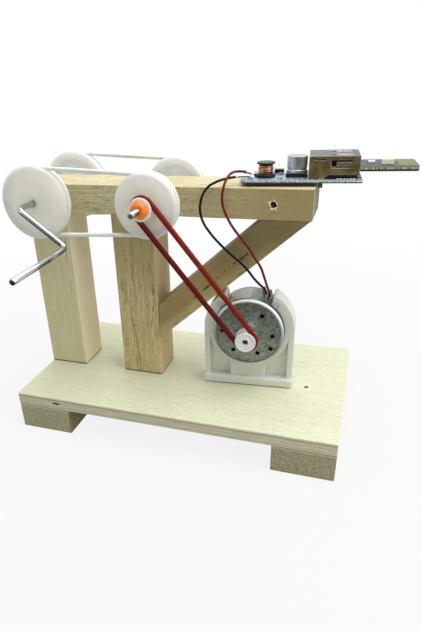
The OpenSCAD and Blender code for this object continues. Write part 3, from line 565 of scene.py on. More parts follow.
def shader_group(name, inputs, outputs):
    """A shader group with named sockets; returns the tree, its input node and its output node."""
    tree = bpy.data.node_groups.new(name, "ShaderNodeTree")
    for label, kind in inputs:
        tree.interface.new_socket(label, in_out="INPUT", socket_type=kind)
    for label, kind in outputs:
        tree.interface.new_socket(label, in_out="OUTPUT", socket_type=kind)
    return tree, tree.nodes.new("NodeGroupInput"), tree.nodes.new("NodeGroupOutput")


def noise(tree, vector, stretch, detail=3.0, roughness=0.5, distortion=0.0):
    """Noise with its own number of waves to the millimetre along each axis."""
    spread = node(tree, "ShaderNodeVectorMath", {0: vector, 1: stretch}, operation="MULTIPLY")
    return node(tree, "ShaderNodeTexNoise", {
        "Vector": spread.outputs[0], "Scale": 1.0, "Detail": detail, "Roughness": roughness,
        "Distortion": distortion}).outputs[0]


def ranged(tree, value, low, high, out_low=0.0, out_high=1.0):
    """A value moved smoothly from one range to another, and kept inside it."""
    return node(tree, "ShaderNodeMapRange", {
        0: value, 1: low, 2: high, 3: out_low, 4: out_high}, interpolation_type="SMOOTHSTEP").outputs[0]


def mixed(tree, factor, first, second, blend="MIX"):
    """A mix of two colours."""
    return node(tree, "ShaderNodeMix", {0: factor, 6: first, 7: second},
                data_type="RGBA", blend_type=blend).outputs[2]


def sums(tree, operation, first, second):
    """One sum of two values."""
    return node(tree, "ShaderNodeMath", {0: first, 1: second}, operation=operation).outputs[0]


def product(tree, *values):
    """Several values or masks in one."""
    whole = values[0]
    for value in values[1:]:
        whole = sums(tree, "MULTIPLY", whole, value)
    return whole


def bumped(tree, height, distance):
    """A surface normal from a height; the distance is in metres."""
    return node(tree, "ShaderNodeBump", {"Height": height, "Distance": distance, "Strength": 1.0}).outputs[0]


def axes(tree, place):
    """The x, y and z of a place."""
    return node(tree, "ShaderNodeSeparateXYZ", {0: place}).outputs


def greyed(tree, value):
    """A value as a grey."""
    return node(tree, "ShaderNodeCombineColor", {0: value, 1: value, 2: value}).outputs[0]


def feed(tree, end, outputs):
    """Joins outputs to the named inputs of a node."""
    for key, output in outputs.items():
        tree.links.new(output, end.inputs[key])


def sawn_grain():
    """A group: sawn wood in millimetres, with the grain along x."""
    tree, given, result = shader_group("sawn_grain", (
        ("Vector", "NodeSocketVector"), ("Early", "NodeSocketColor"), ("Late", "NodeSocketColor"),
        ("Streak", "NodeSocketColor"), ("Streaks", "NodeSocketFloat"), ("Pores", "NodeSocketFloat")), (
        ("Color", "NodeSocketColor"), ("Height", "NodeSocketFloat"), ("Roughness", "NodeSocketFloat")))
    vector, early, late, streak, streaks, porous = given.outputs[:6]
    broad = ranged(tree, noise(tree, vector, (0.006, 0.11, 0.11), 2, 0.5, 0.4), 0.4, 0.66)
    bands = ranged(tree, noise(tree, vector, (0.011, 0.85, 0.85), 4, 0.65, 0.25), 0.46, 0.74)
    fibre = noise(tree, vector, (0.07, 1.9, 1.9), 4, 0.65)
    pores = ranged(tree, noise(tree, vector, (0.22, 2.3, 2.3), 2, 0.6), 0.57, 0.68)
    speckle = noise(tree, vector, (0.9, 2.0, 2.0), 3, 0.65)
    shade = mixed(tree, product(tree, broad, streaks), early, streak)
    shade = mixed(tree, product(tree, bands, streaks), shade, late)
    shade = mixed(tree, product(tree, ranged(tree, fibre, 0.38, 0.68), streaks), shade, late)
    grey = greyed(tree, ranged(tree, speckle, 0.3, 0.7, 0.78, 1.16))
    shade = mixed(tree, porous, shade, grey, "MULTIPLY")
    shade = mixed(tree, product(tree, pores, porous), shade, late, "MULTIPLY")
    relief = sums(tree, "SUBTRACT", fibre, product(tree, pores, 0.5))
    feed(tree, result, {
        "Color": shade, "Height": relief, "Roughness": ranged(tree, bands, 0, 1, 0.58, 0.74)})
    return tree


def soft_patches():
    """A group: two shades in soft patches with fine dust on them."""
    tree, given, result = shader_group("soft_patches", (
        ("Vector", "NodeSocketVector"), ("Low", "NodeSocketColor"), ("High", "NodeSocketColor")), (
        ("Color", "NodeSocketColor"), ("Patch", "NodeSocketFloat"), ("Dust", "NodeSocketFloat")))
    vector, low, high = given.outputs[:3]
    patch = ranged(tree, noise(tree, vector, (1, 1, 1), 4, 0.6, 0.3), 0.3, 0.7)
    dust = noise(tree, vector, (7, 7, 7), 2, 0.6)
    feed(tree, result, {"Color": mixed(tree, patch, low, high), "Patch": patch, "Dust": dust})
    return tree


def fine_scratches():
    """A group: a mask of fine scratches in two directions."""
    tree, given, result = shader_group(
        "fine_scratches", (("Vector", "NodeSocketVector"),), (("Mask", "NodeSocketFloat"),))
    vector = given.outputs["Vector"]
    along = ranged(tree, noise(tree, vector, (0.25, 6, 6), 1, 0.5), 0.64, 0.7)
    aslant = node(tree, "ShaderNodeVectorRotate", {"Vector": vector, "Angle": 1.1}).outputs[0]
    across = ranged(tree, noise(tree, aslant, (0.3, 6, 6), 1, 0.5), 0.66, 0.72)
    feed(tree, result, {"Mask": sums(tree, "MAXIMUM", along, across)})
    return tree


def surface(name, values):
    """A new material; returns it, its tree and its shader with these values on its sockets."""
    material = bpy.data.materials.new(name)
    material.use_nodes = True
    shader = material.node_tree.nodes["Principled BSDF"]
    for key, value in values.items():
        shader.inputs[key].default_value = value
    return material, material.node_tree, shader


def millimetres(tree, turn=(0, 0, 0), centre=(0, 0, 0), waves=1.0):
    """Object coordinates in millimetres from a centre, turned, times a number of waves."""
    spot = node(tree, "ShaderNodeTexCoord").outputs["Object"]
    local = node(tree, "ShaderNodeVectorMath", {0: spot, 1: tuple(centre)}, operation="SUBTRACT").outputs[0]
    size = waves / MM
    return node(tree, "ShaderNodeMapping", {
        "Vector": local, "Rotation": turn, "Scale": (size, size, size)}).outputs[0]


def level(tree, floor=0.0):
    """The height above a floor in millimetres."""
    return axes(tree, millimetres(tree, centre=(0, 0, floor)))[2]


def use(tree, build, inputs):
    """A shader group in a material's tree; it is built when it is first used."""
    group = bpy.data.node_groups.get(build.__name__) or build()
    return node(tree, "ShaderNodeGroup", inputs, node_tree=group).outputs


def patches(tree, low, high, waves):
    """Soft patches of two shades, with a number of waves to the millimetre."""
    return use(tree, soft_patches, {"Vector": millimetres(tree, waves=waves), "Low": low, "High": high})


def scratches(tree):
    """The mask of fine scratches."""
    return use(tree, fine_scratches, {"Vector": millimetres(tree)})["Mask"]


def marked(tree, shade, marks, spot):
    """A shade with marks laid over it; each mark is a function of the tree and the place."""
    for mark in marks:
        mask, ink = mark(tree, spot)
        shade = mixed(tree, mask, shade, rgba(ink))
    return shade


def finish(name, low, high, waves=0.6, rough=(0.4, 0.55), bump=0.01, values=None):
    """A finish of two close shades in soft patches, with its own roughness and fine relief."""
    material, tree, shader = surface(name, values or {})
    look = patches(tree, rgba(low), rgba(high), waves)
    feed(tree, shader, {
        "Base Color": look["Color"], "Roughness": ranged(tree, look["Dust"], 0.25, 0.75, *rough),
        "Normal": bumped(tree, look["Dust"], bump * MM)})
    return material


def timber(name, turn, shades, streaks=0.5, pores=0.3, centre=(0, 0, 0), marks=()):
    """Sawn wood with the grain along the turned x axis, and marks on it."""
    material, tree, shader = surface(name, {"Specular IOR Level": 0.3})
    spot = millimetres(tree, turn, centre)
    early, late, streak = [rgba(shade) for shade in shades]
    grain = use(tree, sawn_grain, {
        "Vector": spot, "Early": early, "Late": late, "Streak": streak, "Streaks": streaks,
        "Pores": pores})
    feed(tree, shader, {
        "Base Color": marked(tree, grain["Color"], marks, spot), "Roughness": grain["Roughness"],
        "Normal": bumped(tree, grain["Height"], 0.06 * MM)})
    return material


def end_grain(name, low, high, dark, centre=(0, 0, 0), marks=()):
    """Cut wood across the grain: a speckle with dark pores that gather in rings about a centre."""
    material, tree, shader = surface(name, {"Roughness": 0.8, "Specular IOR Level": 0.2})
    spot = millimetres(tree, centre=centre)
    coarse = ranged(tree, noise(tree, spot, (1.3, 1.3, 1.3), 4, 0.75), 0.35, 0.65)
    rings = node(tree, "ShaderNodeTexWave",
                 {"Vector": spot, "Scale": 0.12, "Distortion": 2.0, "Detail": 2.0},
                 wave_type="RINGS", rings_direction="Y").outputs[1]
    pores = ranged(tree, noise(tree, spot, (1.9, 1.9, 1.9), 2, 0.6), 0.53, 0.64)
    sunk = product(tree, pores, ranged(tree, rings, 0.1, 0.9, 0.3, 0.85))
    shade = mixed(tree, sunk, mixed(tree, coarse, rgba(low), rgba(high)), rgba(dark))
    feed(tree, shader, {
        "Base Color": marked(tree, shade, marks, spot),
        "Normal": bumped(tree, sums(tree, "SUBTRACT", coarse, pores), 0.1 * MM)})
    return material


# Stops of the plies' colours from the bottom up: the share of the edge's height and the number of the shade
PLY_STOPS = ((0.16, 1), (0.2, 2), (0.25, 1), (0.44, 1), (0.48, 0), (0.53, 2), (0.57, 1), (0.72, 1),
             (0.78, 2), (0.86, 2), (0.91, 0))


def ply_edge(name, low_z, high_z, shades):
    """The edge of three plies: two long-grain faces, a core of end grain and dark glue lines."""
    material, tree, shader = surface(name, {"Roughness": 0.8, "Specular IOR Level": 0.2})
    spot = millimetres(tree, centre=(0, 0, low_z))
    thick = (high_z - low_z) / MM
    wave = noise(tree, spot, (0.06, 0.06, 0.02), 2)
    wavy = sums(tree, "ADD", axes(tree, spot)[2], product(tree, wave, 0.5))
    ramp = node(tree, "ShaderNodeValToRGB", {0: sums(tree, "DIVIDE", wavy, thick + 0.25)})
    elements = ramp.color_ramp.elements
    for element in elements:
        element.color = rgba(shades[0])
    for place, shade in PLY_STOPS:
        elements.new(place).color = rgba(shades[shade])
    fibre = noise(tree, spot, (0.25, 0.25, 4), 3, 0.6)
    grey = greyed(tree, ranged(tree, fibre, 0.3, 0.7, 0.86, 1.08))
    feed(tree, shader, {
        "Base Color": mixed(tree, 1.0, ramp.outputs[0], grey, "MULTIPLY"),
        "Normal": bumped(tree, fibre, 0.08 * MM)})
    return material


def cut_edge(name, solid, pale, dark, fibre):
    """The cut edge of a laminate, paler above than below as painted highlight and painted shade, with bright
    flecks along its middle as painted glints.
    """
    low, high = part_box(solid)
    material, tree, shader = surface(name, {"Roughness": 0.6, "Specular IOR Level": 0.3})
    spot = millimetres(tree, centre=(0, 0, low.z))
    share = sums(tree, "DIVIDE", axes(tree, spot)[2], (high.z - low.z) / MM)
    rough = product(tree, sums(tree, "SUBTRACT", noise(tree, spot, (1.2, 1.2, 2), 3), 0.5), 0.6)
    # Paler towards the top, darker towards the bottom: painted highlight and painted shade
    shade = mixed(tree, ranged(tree, sums(tree, "ADD", share, rough), 0.2, 0.6), rgba(dark), rgba(pale))
    # Bright flecks along the middle: painted glints
    off = sums(tree, "ABSOLUTE", sums(tree, "SUBTRACT", share, 0.55), 0)
    ends = product(tree, ranged(tree, off, 0.1, 0.2, 1, 0),
                   ranged(tree, noise(tree, spot, (2.3, 2.3, 0.1), 2), 0.5, 0.58))
    feed(tree, shader, {"Base Color": mixed(tree, ends, shade, rgba(fibre))})
    return material


def nylon_finish(name, shade, rough=0.42, depth=1.5, weight=0.6):
    """Milky moulded nylon: light goes some way in, with soft clouds and faint scuffs."""
    material, tree, shader = surface(name, {
        "Subsurface Weight": weight, "Subsurface Radius": (1.0, 0.95, 0.82), "Subsurface Scale": depth * MM,
        "Specular IOR Level": 0.4})
    look = patches(tree, rgba(dimmed(shade, 0.965)), rgba(shade), 0.25)
    scuffs = scratches(tree)
    dull = sums(tree, "ADD", ranged(tree, look["Dust"], 0.2, 0.8, rough - 0.06, rough + 0.08),
                product(tree, scuffs, 0.12))
    feed(tree, shader, {
        "Base Color": look["Color"], "Roughness": dull,
        "Normal": bumped(tree, sums(tree, "SUBTRACT", look["Dust"], scuffs), 0.006 * MM)})
    return material


def metal_finish(name, low, high, waves=0.5, rough=(0.2, 0.34), bump=0.004):
    """Metal in two close shades with scratches that dull it."""
    material, tree, shader = surface(name, {"Metallic": 1.0})
    look = patches(tree, rgba(low), rgba(high), waves)
    scuffs = scratches(tree)
    dull = sums(tree, "ADD", ranged(tree, look["Patch"], 0, 1, *rough), product(tree, scuffs, 0.14))
    feed(tree, shader, {
        "Base Color": look["Color"], "Roughness": dull,
        "Normal": bumped(tree, sums(tree, "SUBTRACT", look["Dust"], scuffs), bump * MM)})
    return material


# Stage


# Lamps: the place of each, the point that it faces and its side, in metres
LAMPS = {
    "key": ((0.24, 0.02, 0.95), (0, 0, 0.05), 0.9), "fill": ((-0.5, -0.75, 0.35), (0, 0, 0.05), 0.6),
    "side": ((0.85, -0.2, 0.3), (0, 0, 0.05), 0.6), "back": ((-0.25, 0.85, 0.55), (0, 0, 0.08), 0.6),
}
# Dark cards: the place of each, the point that it faces, and its width and height, in metres
CARDS = {
    "front_card": ((0, -0.42, 0.001), (0, -0.42, 1), (1.6, 0.79)),
    "room_card": ((0.3, -0.95, 0.29), (0.3, 0, 0.29), (1.4, 0.58)),
    "left_card": ((-0.4, 0.16, 0.001), (-0.4, 0.16, 1), (0.6, 0.36)),
}
CARD_BLACK = (0.02, 0.02, 0.02, 1)
FLOOR_GREY = (0.5, 0.5, 0.49, 1)
WHITE = (1, 1, 1, 1)
# Half the floor's side, how far it lies below the feet and where the camera starts to see, in metres
FLOOR_HALF = 3
FLOOR_DROP = 0.05 * MM
NEAREST = 0.005
# Width of the camera's frame in millimetres
FRAME_WIDTH = 36


def shown_white(tree):
    """A mask of the rays that see plain white: those of the camera, off metal and through glass."""
    path = node(tree, "ShaderNodeLightPath").outputs
    bent = sums(tree, "MAXIMUM", path["Is Glossy Ray"], path["Is Transmission Ray"])
    return sums(tree, "MAXIMUM", path["Is Camera Ray"], bent)


def lit_floor():
    """A floor that is white to the camera and still takes the object's shadow."""
    work = bmesh.new()
    bmesh.ops.create_grid(work, x_segments=8, y_segments=8, size=FLOOR_HALF)
    for vertex in work.verts:
        vertex.co.z = -FLOOR_DROP
    floor = carried("floor", finished(work, "floor"))
    material = bpy.data.materials.new("pale_floor")
    material.use_nodes = True
    tree = material.node_tree
    tree.nodes.clear()
    spot = node(tree, "ShaderNodeTexCoord").outputs["Object"]
    spread = node(tree, "ShaderNodeVectorMath", {0: spot}, operation="LENGTH").outputs["Value"]
    share = product(tree, shown_white(tree), ranged(tree, spread, 0.1, 0.28, 0.86, 1.0))
    matte = node(tree, "ShaderNodeBsdfDiffuse", {"Color": FLOOR_GREY})
    glow = node(tree, "ShaderNodeEmission", {"Color": WHITE, "Strength": 1.0})
    both = node(tree, "ShaderNodeMixShader", {0: share, 1: matte.outputs[0], 2: glow.outputs[0]})
    node(tree, "ShaderNodeOutputMaterial", {0: both.outputs[0]})
    floor.data.materials.append(material)


def soft_sky(strength):
    """A world that is white to the camera and lights the object softly."""
    world = bpy.data.worlds.new("studio")
    bpy.context.scene.world = world
    world.use_nodes = True
    tree = world.node_tree
    tree.nodes.clear()
    soft = node(tree, "ShaderNodeBackground", {"Color": WHITE, "Strength": strength})
    white = node(tree, "ShaderNodeBackground", {"Color": WHITE, "Strength": 1.0})
    both = node(tree, "ShaderNodeMixShader", {0: shown_white(tree), 1: soft.outputs[0], 2: white.outputs[0]})
    node(tree, "ShaderNodeOutputWorld", {0: both.outputs[0]})


def lamp(name, watts):
    """A square soft lamp that faces a point."""
    place, aim, side = LAMPS[name]
    light = bpy.data.lights.new(name, "AREA")
    light.shape = "SQUARE"
    light.size = side
    light.energy = watts
    holder = carried(name, light)
    holder.location = place
    holder.rotation_euler = (Vector(aim) - Vector(place)).to_track_quat("-Z", "Y").to_euler()


def dark_card(name):
    """A dark card that shows only in shiny metal."""
    place, aim, (width, height) = CARDS[name]
    work = bmesh.new()
    bmesh.ops.create_grid(work, x_segments=2, y_segments=2, size=0.5)
    turn = (Vector(aim) - Vector(place)).to_track_quat("Z", "Y").to_matrix().to_4x4()
    work.transform(Matrix.Translation(place) @ turn @ Matrix.Diagonal((width, height, 1, 1)))
    card = carried(name, finished(work, name))
    card.data.materials.append(surface(name, {"Base Color": CARD_BLACK, "Roughness": 1.0})[0])
    card.visible_camera = False
    card.visible_diffuse = False
    card.visible_shadow = False
    card.visible_transmission = False


class BENCH_OT_stage(bpy.types.Operator):
    """Sets the camera, the lamps, the floor and the white surroundings"""

    bl_idname = "bench.stage"
    bl_label = "Stage"

    def execute(self, context):
        stage = context.scene.bench_stage
        eye = bpy.data.cameras.new("camera")
        eye.lens = stage.lens
        eye.sensor_width = FRAME_WIDTH
        eye.shift_x, eye.shift_y = stage.shift
        eye.clip_start = NEAREST
        holder = carried("camera", eye)
        holder.location = BENCH + Vector(stage.camera_place)
        holder.rotation_euler = stage.camera_turn
        context.scene.camera = holder
        context.scene.view_settings.view_transform = "Standard"
        lit_floor()
        soft_sky(stage.sky)
        lamp("key", stage.key_power)
        lamp("fill", stage.fill_power)
        lamp("side", stage.side_power)
        lamp("back", stage.back_power)
        for name in CARDS:
            dark_card(name)
        return {"FINISHED"}


# Wires


def lay_wire(name, route, material, solid):
    """A limp insulated wire on its route, from the board into the motor's lug."""
    wire = bpy.data.curves.new(name, "CURVE")
    wire.dimensions = "3D"
    wire.resolution_u = 10
    wire.bevel_depth = bpy.context.scene.bench_sizes.wire / 2
    wire.bevel_resolution = 5
    wire.use_fill_caps = True
    spline = wire.splines.new("BEZIER")
    spline.bezier_points.add(len(route) - 1)
    points = [BENCH + Vector(point) * MM for point in route]
    for knot, point in zip(spline.bezier_points, points):
        knot.co = point
        knot.handle_left_type = knot.handle_right_type = "AUTO"
    piece = carried(name, wire)
    wire.materials.append(material)
    bpy.context.view_layer.update()
    run = sum(measured(spline))
    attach(piece, BODY_OF[solid])
    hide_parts(solid)
    tuple(points[0])


def measured(spline):
    """The lengths of a spline's stretches from knot to knot."""
    for near, far in zip(spline.bezier_points, spline.bezier_points[1:]):
        yield spline_length(near.co, near.handle_right, far.handle_left, far.co)


def spline_length(start, pull_start, pull_end, end, steps=24):
    """The length of one stretch of a spline."""
    line = [start * (1 - t) ** 3 + pull_start * 3 * t * (1 - t) ** 2 + pull_end * 3 * t ** 2 * (1 - t)
            + end * t ** 3 for t in (k / steps for k in range(steps + 1))]
    return sum((b - a).length for a, b in zip(line, line[1:]))


def insulation(name, low, high, start, bare):
    """Smooth plastic on a wire, stripped to the tinned strand for some millimetres from its start."""
    material, tree, shader = surface(name, {"Specular IOR Level": 0.22})
    look = patches(tree, rgba(low), rgba(high), 1.2)
    away = node(tree, "ShaderNodeVectorMath", {0: millimetres(tree, centre=BENCH + Vector(start) * MM)},
                operation="LENGTH").outputs["Value"]
    strand = ranged(tree, away, bare - 0.1, bare + 0.1, 1, 0)
    feed(tree, shader, {
        "Base Color": mixed(tree, strand, look["Color"], rgba(tone("b9bab8"))), "Metallic": strand,
        "Roughness": ranged(tree, look["Dust"], 0.25, 0.75, 0.32, 0.44),
        "Normal": bumped(tree, look["Dust"], 0.006 * MM)})
    return material


class BENCH_OT_wires(bpy.types.Operator):
    """Lays the two limp wires from the circuit board to the motor"""

    bl_idname = "bench.wires"
    bl_label = "Motor wires"

    def execute(self, context):
        red = insulation("red_insulation", tone("5f1010"), tone("7a1815"), RED_ROUTE[0], 2.2)
        black = insulation("black_insulation", tone("08080a"), tone("111113"), BLACK_ROUTE[0], 5)
        lay_wire("red_lead", RED_ROUTE, red, "red_wire")
        lay_wire("black_lead", BLACK_ROUTE, black, "black_wire")
        return {"FINISHED"}


# Wood


def slit(start, end, width, wander=0.5, strength=0.85, code="4f4627"):
    """A thin dark line between two points of the frame's front, in x and z millimetres on the bench."""
    near = BENCH + Vector((start[0] * MM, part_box("top_beam")[0].y - BENCH.y, start[1] * MM))
    run = Vector((end[0] - start[0], 0, end[1] - start[1]))

    def mark(tree, spot):
        place = millimetres(tree, (0, math.atan2(run.z, run.x), 0), near)
        along, depth, off = axes(tree, place)
        sway = product(tree, sums(tree, "SUBTRACT", noise(tree, place, (0.3, 0, 0), 3), 0.5), 2 * wander)
        aside = sums(tree, "ABSOLUTE", sums(tree, "SUBTRACT", off, sway), 0)
        thick = ranged(tree, noise(tree, place, (0.8, 0, 0), 2), 0.3, 0.7, 0.5 * width, 1.4 * width)
        line = product(
            tree, ranged(tree, aside, 0, thick, 1, 0), ranged(tree, along, -0.3, 0.5),
            ranged(tree, along, run.length - 0.5, run.length + 0.3, 1, 0),
            ranged(tree, depth, 0.5, 1, strength, 0))
        return line, tone(code)
    return mark


def seat_line(tree, spot):
    """Painted shadow: the dark line where a post stands on the base."""
    return ranged(tree, level(tree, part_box("base_board")[1].z), 0.4, 0.75, 0.9, 0), tone("4a4222")


def brown_sides(tree, spot):
    """The browner wood along both sides of the brace."""
    off = sums(tree, "ABSOLUTE", axes(tree, spot)[2], 0)
    return ranged(tree, off, 1.4, 4.2, 0, 0.6), tone("8d7247")


def pale_side(solid, strength, code):
    """Painted light: the right side of a post painted paler, as lit from the right, with a warmer tint of the wood
    there.
    """
    def mark(tree, spot):
        across = axes(tree, millimetres(tree, centre=(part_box(solid)[1].x, 0, 0)))[0]
        return ranged(tree, across, -0.35, -0.15, 0, strength), tone(code)
    return mark


def brown_top(low, high, strength, code):
    """Painted shade: the upper end of a post or of the brace darker and browner where the beam shades it, from one
    height in millimetres to another.
    """
    def mark(tree, spot):
        return ranged(tree, level(tree), low, high, 0, strength), tone(code)
    return mark


def brown_end(tree, spot):
    """The browner right half of the beam's front."""
    along, depth = axes(tree, millimetres(tree, centre=(BENCH.x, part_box("top_beam")[0].y, 0)))[:2]
    mask = product(tree, ranged(tree, along, 44, 98, 0, 0.9), ranged(tree, depth, 0.3, 1, 1, 0))
    return mask, tone("a3915e")


def glue_line(tree, spot):
    """The pale line of dried glue at the top of a foot."""
    place = millimetres(tree, centre=(0, 0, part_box("base_board")[0].z))
    wave = product(tree, noise(tree, place, (0.25, 0.25, 0), 2), 1.2)
    drop = sums(tree, "ADD", axes(tree, place)[2], wave)
    return ranged(tree, sums(tree, "ABSOLUTE", drop, 0), 0.15, 0.4, 0.6, 0), tone("d8d2ac")


def tinted(shades, tint):
    """Some shades of one wood, each times a tint."""
    return [tuple(part * share for part, share in zip(shade, tint)) for shade in shades]


# Checks, pits and pencil dashes on the front of the frame, as start, end and width in bench millimetres
LEFT_POST_CHECKS = (((13.4, 67), (12.9, 57.6), 0.2), ((13.1, 52), (13, 45), 0.12))
RIGHT_POST_CHECKS = (
    ((34.1, 52.6), (36.4, 43.5), 0.3), ((36.4, 43.5), (37.9, 32.7), 0.24),
    ((37.9, 32.7), (39.5, 14.4), 0.32), ((33.9, 51.5), (34.4, 47.8), 0.42),
    ((39.3, 67.2), (39.2, 61.5), 0.2), ((41.1, 52.8), (41.3, 49.6), 0.18),
    ((46.3, 57.6), (46.2, 47), 0.22), ((36.2, 66), (35.8, 55), 0.14), ((43.6, 44), (43.4, 34), 0.12))
BRACE_DASHES = (
    ((76.7, 62), (80.3, 65.1), 0.42), ((75.5, 61.1), (76.2, 61.7), 0.7), ((74, 60), (74.4, 60.3), 0.5),
    ((72.2, 58.3), (72.8, 58.8), 0.36), ((69.6, 55.6), (70, 56), 0.5), ((64.8, 50.9), (67.3, 53.3), 0.5),
    ((61.4, 47.7), (62.4, 48.4), 0.7), ((62.6, 51.2), (63, 51.5), 0.5))
# Void in the base's front edge, as x and z of two corners in millimetres
PLY_VOID = ((14.2, 1.8), (17, 2.6))
# Tints of the frame's timbers, of the feet's cut ends, and of the feet's sides, which are darkened as painted
# shade under the base
RIGHT_POST_TINT = (0.94, 0.86, 0.74)
BEAM_TINT = (0.98, 0.95, 0.96)
# The brace's tint is partly a darker wood and partly painted shade under the beam
BRACE_TONE_AND_SHADE = (0.76, 0.68, 0.51)
FOOT_TINTS = {"foot_left": (0.85, 0.84, 0.74), "foot_right": (0.82, 0.76, 0.68)}
FOOT_SIDE_SHADE = (0.36, 0.32, 0.2)
# Seed of the splinters
SPLINTER_SEED = 5


class BENCH_OT_wood(bpy.types.Operator):
    """Dresses the sawn wood: base, feet, posts, beam and brace"""

    bl_idname = "bench.wood"
    bl_label = "Wood"

    def execute(self, context):
        sizes = context.scene.bench_sizes
        shades = context.scene.bench_colours
        pine = (shades.pale_wood, shades.dark_wood, shades.pink_wood)
        ends = end_grain("pine_ends", tone("9a9b8a"), tone("b4b5a4"), tone("7d7a66"))
        for solid, (material, along) in self.timbers(pine).items():
            mesh = dressed(solid, sizes.wood_edge)
            by_direction(mesh, Vector(along), 0.8)
            show(solid + "_sawn", mesh, (material, ends), solid)
        cut_shades = (tone("b1b08e"), tone("d2d2b6"), tone("6e6748"))
        for solid, tint in FOOT_TINTS.items():
            # The feet's sides are pine darkened as painted shade under the base
            side = timber(solid + "_pine", (0, 0, math.pi / 2), tinted(pine, FOOT_SIDE_SHADE), 0.5, 0.5)
            cut = end_grain(solid + "_end", *tinted(cut_shades, tint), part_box(solid)[0], (glue_line,))
            mesh = dressed(solid, sizes.wood_edge)
            by_direction(mesh, Vector((0, 1, 0)))
            show(solid + "_sawn", mesh, (side, cut), solid)
        self.lay_base(sizes, shades)
        self.raise_splinters(sizes)
        return {"FINISHED"}

    def timbers(self, pine):
        """The finish of each timber of the frame, and the way its grain runs."""
        upright = (0, math.pi / 2, 0)
        low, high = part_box("diagonal_brace")
        rise = math.atan2(high.z - low.z, high.x - low.x)
        left = [slit(*check) for check in LEFT_POST_CHECKS]
        left += [pale_side("post_left", 0.55, "ffeed2"), seat_line]
        right = [slit(*check, strength=0.6) for check in RIGHT_POST_CHECKS]
        right += [brown_top(44, 70, 0.5, "98895c"), pale_side("post_right", 0.4, "dcb98a"), seat_line]
        brace = [brown_sides, brown_top(56, 72, 0.85, "766b45")]
        brace += [slit(*dash, wander=0.1, strength=1, code="120f0a") for dash in BRACE_DASHES]
        dull, pale, brown_and_shaded = [tinted(pine, tint) for tint in (RIGHT_POST_TINT, BEAM_TINT, BRACE_TONE_AND_SHADE)]
        left_pine = timber("left_post_pine", upright, pine, 0.25, 0.2, (0.031, 0.002, 0), left)
        right_pine = timber("right_post_pine", upright, dull, 0.9, 0.75, (0.013, 0.011, 0), right)
        beam_pine = timber("beam_pine", (0, 0, 0), pale, 0.75, 0.75, (0, 0, 0.017), (brown_end,))
        brace_pine = timber("brace_pine", (0, rise, 0), brown_and_shaded, 0.75, 0.5, (low + high) / 2, brace)
        return {
            "post_left": (left_pine, (0, 0, 1)), "post_right": (right_pine, (0, 0, 1)),
            "top_beam": (beam_pine, (1, 0, 0)),
            "diagonal_brace": (brace_pine, (math.cos(rise), 0, math.sin(rise))),
        }

    def lay_base(self, sizes, shades):
        """The plywood base, with a void in its front edge."""
        low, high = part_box("base_board")
        face = timber("base_veneer", (0, 0, 0), (shades.veneer, shades.veneer_grain, shades.veneer),
                      0.45, 0.3)
        edge = ply_edge("base_plies", low.z, high.z, (tone("e2e0c2"), tone("cfccb0"), tone("b5aa86")))
        # The void's inside is dark as painted shade in the recess
        dark = finish("ply_void_shade", tone("4d4214"), tone("6b5d22"), 1.0, (0.8, 0.9), 0.03)
        start, end = PLY_VOID
        notch = joined([block((low.x + start[0] * MM, low.y - 1 * MM, low.z + start[1] * MM),
                              (low.x + end[0] * MM, low.y + 2 * MM, low.z + end[1] * MM))], "void")
        mesh = dressed("base_board", sizes.wood_edge, cutters=(notch,))
        by_edge(mesh)
        for part in mesh.polygons:
            x, y, z = (part.center - low) / MM
            if start[0] - 1 < x < end[0] + 1 and y > 0.3 and start[1] - 0.5 < z < end[1] + 0.5:
                part.material_index = 2
        show("base_plywood", mesh, (face, edge, dark), "base_board")

    def raise_splinters(self, sizes):
        """The torn fibres round the spare hole."""
        hole = MOUNT["spare_axle_hole"]
        torn = finish("torn_fibres", tone("d3c79c"), tone("efe6c2"), 1.5, (0.7, 0.85), 0.02)
        mesh = grown("splinters", splinter_tree(), {
            "Count": sizes.splinters, "Hole": hole["dims"]["r_mm"] * MM, "Length": sizes.splinter_length,
            "Seed": SPLINTER_SEED, "Material": torn})
        face = Vector((hole["pos_m"][0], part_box("top_beam")[0].y, hole["pos_m"][2]))
        mesh.transform(Matrix.Translation(face) @ Matrix.Rotation(math.pi / 2, 4, "X"))
        show("hole_splinters", mesh, (), "top_beam", instead=False)


# Turning pieces


def axle_place(joint, y, back=False):
    """A place on a joint's axis at a depth, with y along the axle; turned round for the rear."""
    spot = JOINT[joint]["pos_m"]
    return Matrix.Translation((spot[0], y, spot[2])) @ Matrix.Rotation(math.pi if back else 0, 4, "Z")


